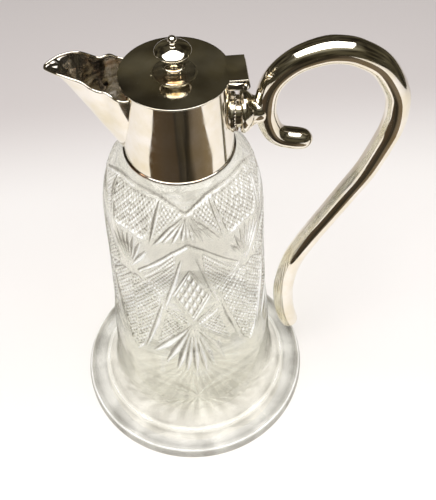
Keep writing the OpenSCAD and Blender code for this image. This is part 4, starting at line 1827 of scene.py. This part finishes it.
        w, r, neck = self.knop_w, self.knop_r, self.ferrule_r
        start = float(self.collar.radius(self.axis_z - self.ring_r)) - self.seat_x
        start += self.plate_t + self.bead_h + self.fit
        root = inner - self.fit
        bulb = catmull(
            [
                (root, start),
                (r - 0.7, start + 0.07 * w),
                (r, start + 0.26 * w),
                (r - 0.5, start + 0.52 * w),
                (r - 1.9, start + 0.8 * w),
                (neck + 0.6, start + w),
            ],
            10,
        )
        knop = turned(
            "socket_knop",
            np.vstack(
                [
                    [(self.dowel_r, low), (root, low)],
                    bulb,
                    [(self.dowel_r, start + w)],
                ]
            ),
            self.sides,
            50,
        )
        self.bend(knop, self.plate_t + 0.1)
        self.lay_down(knop, self.seat_x)
        dress_silver(knop, Body.JUG, silver, "handle_knop")

        ferrule = from_node("socket_ferrule", "handle_ferrule")
        dress_silver(ferrule, Body.JUG, silver, "handle_ferrule")


@dataclass
class Handle:
    """The whiplash handle: a tapering tube from the scroll's bud to its free end."""

    socket: Socket
    upright_x: float = 42.2
    span: float = 64.9
    rise: float = 31.9
    drop: float = 189.6
    top_r: float = 6.5
    upright_r: float = 5.35
    station_mm: float = 1.4
    end_least: float = 0.0008
    steps: int = 10
    sides: int = 40

    def line(self) -> list[tuple[float, float, float]]:
        """Lists the centre line: shares of the span and of the rise or drop, and radii."""
        up, top = self.upright_r, self.top_r
        return [
            (0.375, -0.1180, 4.3),
            (0.325, -0.1145, 5.1),
            (0.262, -0.1095, 5.6),
            (0.190, -0.1035, 5.6),
            (0.125, -0.0955, 5.5),
            (0.066, -0.0760, 5.4),
            (0.020, -0.0385, up),
            (0.000, 0.030, up),
            (0.018, 0.373, 5.5),
            (0.086, 0.646, 5.75),
            (0.217, 0.875, 6.1),
            (0.382, 0.994, top),
            (0.505, 1.000, top),
            (0.644, 0.918, top - 0.1),
            (0.826, 0.661, 6.2),
            (0.966, 0.185, 6.1),
            (1.000, -0.0322, 6.1),
            (0.988, -0.0902, 6.05),
            (0.946, -0.1456, 6.0),
            (0.847, -0.2453, 6.0),
            (0.713, -0.3376, 6.0),
            (0.606, -0.4109, 6.0),
            (0.467, -0.5047, 6.0),
            (0.345, -0.5992, 6.0),
            (0.2835, -0.6704, 6.0),
            (0.253, -0.7442, 6.1),
            (0.248, -0.8075, 6.2),
            (0.271, -0.8919, 6.1),
            (0.314, -0.9552, 5.9),
            (0.363, -1.000, 5.2),
        ]

    def build(self, silver: bpy.types.Material) -> None:
        """Builds the tube.

        Args:
            silver: the silver plate.
        """
        z0 = self.socket.axis_z
        nodes = [
            (self.upright_x + self.span * x, z0 + (self.rise if z > 0 else self.drop) * z, r)
            for x, z, r in self.line()
        ]
        curve = catmull(nodes, self.steps)
        run = np.concatenate(
            [[0], np.cumsum(np.hypot(*np.diff(curve[:, :2], axis=0).T))]
        )
        ends = 1 - np.cos(np.linspace(0, math.pi / 2, 9))
        start = ends * curve[0, 2]
        finish = run[-1] - ends[::-1] * curve[-1, 2]
        middle = np.arange(start[-1] + 1.2, finish[0] - 0.8, self.station_mm)
        stations = np.concatenate([start, middle, finish])
        x, z, r = (np.interp(stations, run, curve[:, k]) for k in range(3))
        near = np.minimum(stations, run[-1] - stations)
        share = np.clip(near / r, 0, 1)
        radii = r * np.sqrt(np.maximum(self.end_least, 1 - (1 - share) ** 2))
        path = np.stack([x, np.zeros_like(x), z], -1)
        tube = sweep("handle_whiplash_tube", path, radii, self.sides, silver)
        dress_silver(tube, Body.JUG, silver, "handle")


# The lid, its hinge and its finial


@dataclass
class Lid:
    """The flat lid with its square tab, its boss, bezel and hinge knuckle."""

    collar: Collar
    radius: float = 25.9
    thick: float = 0.9
    tab_w: float = 18.3
    tab_reach: float = 32.7
    boss_r: float = 10.7
    boss_t: float = 0.35
    bezel_h: float = 3.4
    bezel_gap: float = 0.7
    edge: float = 0.22

    @property
    def top_z(self) -> float:
        """Height of the lid's upper side in mm."""
        return self.collar.mouth_z + self.thick

    def outline(self) -> list[tuple[float, float]]:
        """Draws the plate's outline, counter-clockwise from above.

        Returns:
            Points in mm.
        """
        half = 0.5 * self.tab_w
        start = math.asin(half / self.radius)
        turn = np.linspace(start, 2 * math.pi - start, 181)
        disc = [(self.radius * math.cos(a), self.radius * math.sin(a)) for a in turn]
        return disc + [(self.tab_reach, -half), (self.tab_reach, half)]

    def build(self, silver: bpy.types.Material) -> None:
        """Builds the lid's pieces.

        Args:
            silver: the silver plate.
        """
        outline = self.outline()
        n = len(outline)
        low = [(x, y, self.collar.mouth_z) for x, y in outline]
        high = [(x, y, self.top_z) for x, y in outline]
        faces = [tuple(range(n - 1, -1, -1)), tuple(range(n, 2 * n))]
        faces += ring_band(0, n, n)
        plate = mesh_object("lid_plate_with_tab", np.array(low + high), faces)
        bevel = plate.modifiers.new("rounded_edges", "BEVEL")
        bevel.width, bevel.segments = self.edge * MM, 3
        bevel.limit_method, bevel.angle_limit = "ANGLE", math.radians(40)
        plate = plain_mesh(plate)
        smooth_by_angle(plate.data, 40)
        dress_silver(plate, Body.LID, silver, "lid_plate")

        z, t = self.top_z, self.boss_t
        boss = turned(
            "lid_turned_boss",
            np.array(
                [
                    (1.3, z),
                    (self.boss_r, z),
                    (self.boss_r, z + 0.3 * t),
                    (self.boss_r - 0.22, z + t),
                    (self.boss_r - 0.75, z + t),
                    (self.boss_r - 1.0, z + 0.45 * t),
                    (self.boss_r - 1.3, z + 0.45 * t),
                    (self.boss_r - 1.6, z + 0.8 * t),
                    (6.2, z + t),
                    (1.3, z + t),
                ]
            ),
            160,
            20,
        )
        spots = np.array([v.co[:2] for v in boss.data.vertices]) / MM
        inside = np.hypot(*spots.T) < self.boss_r - 0.9
        write_unwiped(boss.data, 0.45 * inside)
        dress_silver(boss, Body.LID, silver, "lid_boss")

        r = float(self.collar.radius(self.collar.mouth_z - self.bezel_h))
        r -= self.collar.sheet + self.bezel_gap
        low_z, high_z = self.collar.mouth_z - self.bezel_h, self.collar.mouth_z
        bezel = turned(
            "lid_bezel_ring",
            np.array(
                [
                    (r - self.collar.sheet, low_z + 0.1),
                    (r - self.collar.sheet + 0.15, low_z),
                    (r - 0.15, low_z),
                    (r, low_z + 0.15),
                    (r, high_z),
                    (r - self.collar.sheet, high_z),
                ]
            ),
            128,
        )
        dress_silver(bezel, Body.LID, silver, "lid_bezel")


@dataclass
class Hinge:
    """The three-knuckle hinge behind the lid."""

    def build(self, silver: bpy.types.Material) -> None:
        """Builds the hinge's pieces.

        Args:
            silver: the silver plate.
        """
        bracket = from_node("hinge_fixed_leaf", "hinge_bracket")
        dress_silver(bracket, Body.JUG, silver, "hinge_bracket")
        pin = from_node("hinge_pin_headed", "hinge_pin")
        dress_silver(pin, Body.JUG, silver, "hinge_pin")
        knuckle = from_node("hinge_moving_knuckle", "lid_knuckle")
        dress_silver(knuckle, Body.LID, silver, "lid_knuckle")


@dataclass
class Finial:
    """The turned finial: flared stem, domed cap and ball."""

    lid: Lid
    flare_r: float = 5.5
    flare_z: float = 4.0
    stem_r: float = 1.9
    cap_z: float = 10.4
    cap_r: float = 8.4
    cap_h: float = 5.2
    ball_r: float = 2.1
    ball_sunk: float = 0.8
    stud_r: float = 1.2

    def build(self, silver: bpy.types.Material) -> None:
        """Builds the finial's pieces.

        Args:
            silver: the silver plate.
        """
        base = self.lid.top_z + self.lid.boss_t
        low = self.lid.top_z + self.cap_z
        top = low + self.cap_h
        flare, rise, stem_r = self.flare_r, self.flare_z, self.stem_r
        side = catmull(
            [
                (flare - 1.9, base),
                (flare - 2.3, base + 0.3 * rise),
                (flare - 1.3, base + 0.7 * rise),
                (flare, base + 0.92 * rise),
                (flare - 0.5, base + 1.07 * rise),
                (stem_r + 1.2, base + 1.2 * rise),
                (stem_r, base + 1.5 * rise),
                (stem_r + 0.4, low - 1.4),
                (stem_r + 1.6, low),
            ],
            10,
        )
        stem = turned(
            "finial_flared_stem",
            np.vstack([[(self.stud_r, base)], side, [(self.stud_r, low)]]),
            96,
            50,
        )
        dress_silver(stem, Body.LID, silver, "finial_stem")

        r, h = self.cap_r, self.cap_h
        seat = low + 0.13 * h
        lip = catmull([(0.8 * r, low), (0.885 * r, low + 0.05 * h), (0.88 * r, seat)], 6)
        dome = catmull(
            [
                (0.9 * r, seat),
                (r, low + 0.24 * h),
                (0.96 * r, low + 0.4 * h),
                (0.78 * r, low + 0.62 * h),
                (0.5 * r, low + 0.84 * h),
                (0.26 * r, low + 0.96 * h),
                (0.13 * r, top),
            ],
            10,
        )
        cap = turned(
            "finial_domed_cap",
            np.vstack([[(0.0, low)], lip, dome, [(0.0, top)]]),
            128,
            50,
        )
        dress_silver(cap, Body.LID, silver, "finial_cap")

        middle = top + self.ball_sunk * self.ball_r
        start = -math.asin(self.ball_sunk)
        turn = np.linspace(start, 0.5 * math.pi, 25)[:-1]
        side = np.stack([self.ball_r * np.cos(turn), middle + self.ball_r * np.sin(turn)], -1)
        profile = np.vstack([[(0.0, top)], side, [(0.0, middle + self.ball_r)]])
        ball = turned("finial_ball_turned", profile, 64, 50)
        dress_silver(ball, Body.LID, silver, "finial_ball")


# The setting: floor, lamps, surroundings and camera


@dataclass
class Setting:
    """A pale cloth-covered table under soft light, in a dim brown room.

    The room shows only in the metal and, softened, in the glass. Polished metal needs
    something dark to reflect, as the flags of a photographer's studio give it.
    """

    cloth: str = "#F3F0EF"
    cloth_dark: str = "#EAE7E5"
    # Painted shade: the cloth darkens to this colour towards the back, between these distances
    # in metres
    cloth_far_painted_shade: str = "#D2CCCB"
    painted_shade_starts: float = 0.15
    painted_shade_ends: float = 0.29
    floor_m: float = 1.6
    fold_mm: float = 240.0
    fold_height_mm: float = 3.0
    thread_mm: float = 1.1
    thread_height_mm: float = 0.1
    room_bands: tuple[tuple[float, str], ...] = ((0.38, "#242019"), (0.66, "#5A5545"))
    room_patches: float = 2.6
    room_seen_in_glass: str = "#F1F0EE"
    ambient: str = "#FFFEFC"
    ambient_strength: float = 0.17
    panel_height: float = 1.15
    panel_size: tuple[float, float] = (1.5, 0.9)
    panel_place: tuple[float, float] = (0.0, -0.3)
    panel_watts: float = 22.0
    panel_light: str = "#FFFDFB"
    behind: str = "#F7F5F2"
    window: str = "#B9B5A4"
    window_sides: tuple[tuple[str, float, float], ...] = (("Y", -0.3, -0.6), ("Z", 0.42, 0.72))
    card_edge: float = -0.122
    card_far: float = -1.6
    card_taper: float = 0.62
    card_ripples: float = 9.0
    card_sway: float = 0.5
    card_half: float = 0.42
    card_spread: float = 1.3
    card_bands: tuple[tuple[float, str], ...] = (
        (0.0, "#5A4A38"),
        (1.0, "#84745C"),
        (0.30, "#51463A"),
        (0.42, "#4A3F32"),
        (0.47, "#37322B"),
        (0.53, "#4A4337"),
        (0.56, "#2C2822"),
        (0.64, "#3E372C"),
        (0.72, "#75695A"),
    )

    def floor(self) -> None:
        """Lays the cloth-covered floor, with painted shade that darkens it towards the back."""
        material, add = new_material("cotton_cloth_ironed")
        place = add("ShaderNodeTexCoord").outputs["Object"]
        folds = add(NOISE, {"Scale": 1 / (self.fold_mm * MM), "Detail": 2.0, "Vector": place})
        colour = add(
            MIX,
            {"data_type": "RGBA", 0: folds, 6: linear(self.cloth), 7: linear(self.cloth_dark)},
        )
        parts = add("ShaderNodeSeparateXYZ", {"Vector": place})
        # Painted shade that darkens the cloth towards the back
        away = add(
            MAP_RANGE,
            {
                "interpolation_type": "SMOOTHSTEP",
                "From Min": self.painted_shade_starts,
                "From Max": self.painted_shade_ends,
                "Value": parts.outputs["Y"],
            },
        )
        cloth_with_painted_shade = add(MIX, {"data_type": "RGBA", 0: away, 6: colour, 7: linear(self.cloth_far_painted_shade)})
        slow = add(
            BUMP, {"Strength": 0.6, "Distance": self.fold_height_mm * MM, "Height": folds}
        )
        threads = add(
            NOISE, {"Scale": 1 / (self.thread_mm * MM), "Detail": 1.0, "Vector": place}
        )
        weave = add(
            BUMP,
            {
                "Strength": 0.25,
                "Distance": self.thread_height_mm * MM,
                "Height": threads,
                "Normal": slow,
            },
        )
        shader = add(
            "ShaderNodeBsdfPrincipled",
            {
                "Roughness": 0.95,
                "Specular IOR Level": 0.1,
                "Base Color": cloth_with_painted_shade,
                "Normal": weave,
            },
        )
        add("ShaderNodeOutputMaterial", {"Surface": shader})
        half = 0.5 * self.floor_m / MM
        square = np.array(
            [(-half, -half, 0), (half, -half, 0), (half, half, 0), (-half, half, 0)]
        )
        cloth = mesh_object("table_cloth", square, [(0, 1, 2, 3)])
        cloth.data.materials.append(material)

    def card(self) -> None:
        """Lays a dark card before the cloth's front edge, seen only in reflections."""
        material, add = new_material("dark_card")
        place = add("ShaderNodeTexCoord").outputs["Object"]
        parts = add("ShaderNodeSeparateXYZ", {"Vector": place})
        bearing = add(
            MATH, {"operation": "DIVIDE", 0: parts.outputs["X"], 1: parts.outputs["Y"]}
        )
        ripple = add(NOISE, {"Scale": self.card_ripples, "Detail": 1.0, "Vector": place})
        sway = add(
            MATH,
            {
                "operation": "MULTIPLY_ADD",
                0: ripple,
                1: self.card_sway,
                2: -0.5 * self.card_sway,
            },
        )
        spot = add(MATH, {"operation": "SUBTRACT", 0: sway, 1: bearing})
        share = add(
            MAP_RANGE,
            {"From Min": -self.card_spread, "From Max": self.card_spread, "Value": spot},
        )
        colour = add("ShaderNodeValToRGB", {"Fac": share})
        set_ramp(colour, self.card_bands)
        glow = add("ShaderNodeEmission", {"Strength": 1.0, "Color": colour})
        add("ShaderNodeOutputMaterial", {"Surface": glow})
        wide, near, far = self.card_half / MM, self.card_edge / MM, self.card_far / MM
        tip = self.card_taper * wide
        corners = [(-wide, far, 1.0), (wide, far, 1.0), (tip, near, 1.0), (-tip, near, 1.0)]
        card = mesh_object("front_card", np.array(corners), [(0, 1, 2, 3)])
        card.data.materials.append(material)
        card.visible_camera = card.visible_diffuse = card.visible_shadow = False
        card.visible_transmission = card.visible_volume_scatter = False

    def lamps(self) -> None:
        """Hangs one wide soft panel over the table."""
        data = bpy.data.lights.new("overhead_panel", "AREA")
        data.shape, data.energy = "RECTANGLE", self.panel_watts
        data.size, data.size_y = self.panel_size
        data.color = linear(self.panel_light)[:3]
        panel = new_object("overhead_panel", data)
        panel.location = (*self.panel_place, self.panel_height)
        panel.visible_camera = False

    def world(self) -> None:
        """Sets the surroundings: white to the camera, a dim room in the metal."""
        world = bpy.data.worlds.new("dim_room")
        world.use_nodes = True
        bpy.context.scene.world = world
        world.node_tree.nodes.clear()
        add = partial(add_node, world.node_tree)
        path = add("ShaderNodeLightPath").outputs
        way = add("ShaderNodeTexCoord").outputs["Generated"]
        patches = add(
            NOISE, {"Scale": self.room_patches, "Detail": 2.5, "Roughness": 0.55, "Vector": way}
        )
        room = add("ShaderNodeValToRGB", {"Fac": patches})
        set_ramp(room, self.room_bands)

        parts = add("ShaderNodeSeparateXYZ", {"Vector": way}).outputs
        sides = [
            add(MAP_RANGE, {"From Min": low, "From Max": high, "Value": parts[axis]})
            for axis, low, high in self.window_sides
        ]
        window = add(MATH, {"operation": "MULTIPLY", 0: sides[0], 1: sides[1]})
        around = add(MIX, {"data_type": "RGBA", 0: window, 6: room, 7: linear(self.window)})
        colour = add(
            MIX,
            {"data_type": "RGBA", 0: path["Is Glossy Ray"], 6: linear(self.ambient), 7: around},
        )
        eyes = path["Is Glossy Ray"]
        seen_by = {"Is Transmission Ray": self.room_seen_in_glass, "Is Camera Ray": self.behind}
        for ray, tint in seen_by.items():
            colour = add(MIX, {"data_type": "RGBA", 0: path[ray], 6: colour, 7: linear(tint)})
            eyes = add(MATH, {"operation": "MAXIMUM", 0: eyes, 1: path[ray]})
        strength = add(
            MAP_RANGE, {"To Min": self.ambient_strength, "To Max": 1.0, "Value": eyes}
        )
        background = add("ShaderNodeBackground", {"Color": colour, "Strength": strength})
        add("ShaderNodeOutputWorld", {"Surface": background})

    def build(self) -> None:
        """Builds the whole setting."""
        self.floor()
        self.card()
        self.lamps()
        self.world()
        bpy.context.scene.view_settings.view_transform = "Standard"


@dataclass
class Viewpoint:
    """The camera: high in front of the jug, turned a little with the photograph."""

    place_mm: tuple[float, float, float] = (-1.988, -282.88, 482.65)
    pitch_deg: float = 51.734
    roll_deg: float = 1.405
    turn_deg: float = -4.0
    focal_px: float = 785.7
    image_px: tuple[int, int] = (436, 500)
    sensor_mm: float = 36.0

    def build(self) -> None:
        """Sets up the camera."""
        p, roll = math.radians(self.pitch_deg), math.radians(self.roll_deg)
        turn = Matrix.Rotation(math.radians(self.turn_deg), 3, "Z")
        right = turn @ Vector((1, 0, 0))
        down = turn @ Vector((0, -math.sin(p), -math.cos(p)))
        ahead = turn @ Vector((0, math.cos(p), -math.sin(p)))
        x = math.cos(roll) * right + math.sin(roll) * down
        y = math.sin(roll) * right - math.cos(roll) * down
        axes = Matrix((x, y, -ahead)).transposed()
        data = bpy.data.cameras.new("camera")
        data.sensor_width = self.sensor_mm
        data.lens = self.focal_px * self.sensor_mm / max(self.image_px)
        data.clip_start, data.clip_end = 0.01, 20.0
        camera = new_object("camera", data)
        move = Matrix.Translation(Vector(self.place_mm) * MM)
        camera.matrix_world = move @ axes.to_4x4()
        bpy.context.scene.camera = camera


def dress_hidden_nodes() -> None:
    """Gives the nodes that stay as the CAD has them their materials."""
    finishes = {
        PLASTER: (("plaster_bedding",), Slot.PLASTER),
        BRASS: (
            ("handle_dowel", "finial_stud", "finial_washer", "finial_nut"),
            Slot.BRASS,
        ),
    }
    for finish, (names, slot) in finishes.items():
        material = finish.material()
        for name in names:
            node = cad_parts[name]
            node.data.materials.clear()
            node.data.materials.append(material)
            LOG.info("%s: kept from the CAD, in %s", name, finish.name)


def main() -> None:
    """Builds the jug, its setting and its camera."""
    logging.basicConfig(level=logging.INFO, format="%(name)s: %(message)s")
    Viewpoint().build()
    Setting().build()
    silver = SilverPlate().material()
    GlassVessel().build(LeadCrystal().material())
    collar = Collar()
    spout = Spout(collar)
    collar.build(silver, spout)
    spout.build(silver)
    socket = Socket(collar)
    socket.build(silver)
    Handle(socket).build(silver)
    lid = Lid(collar)
    lid.build(silver)
    Hinge().build(silver)
    Finial(lid).build(silver)
    dress_hidden_nodes()


if __name__ == "__main__":
    main()
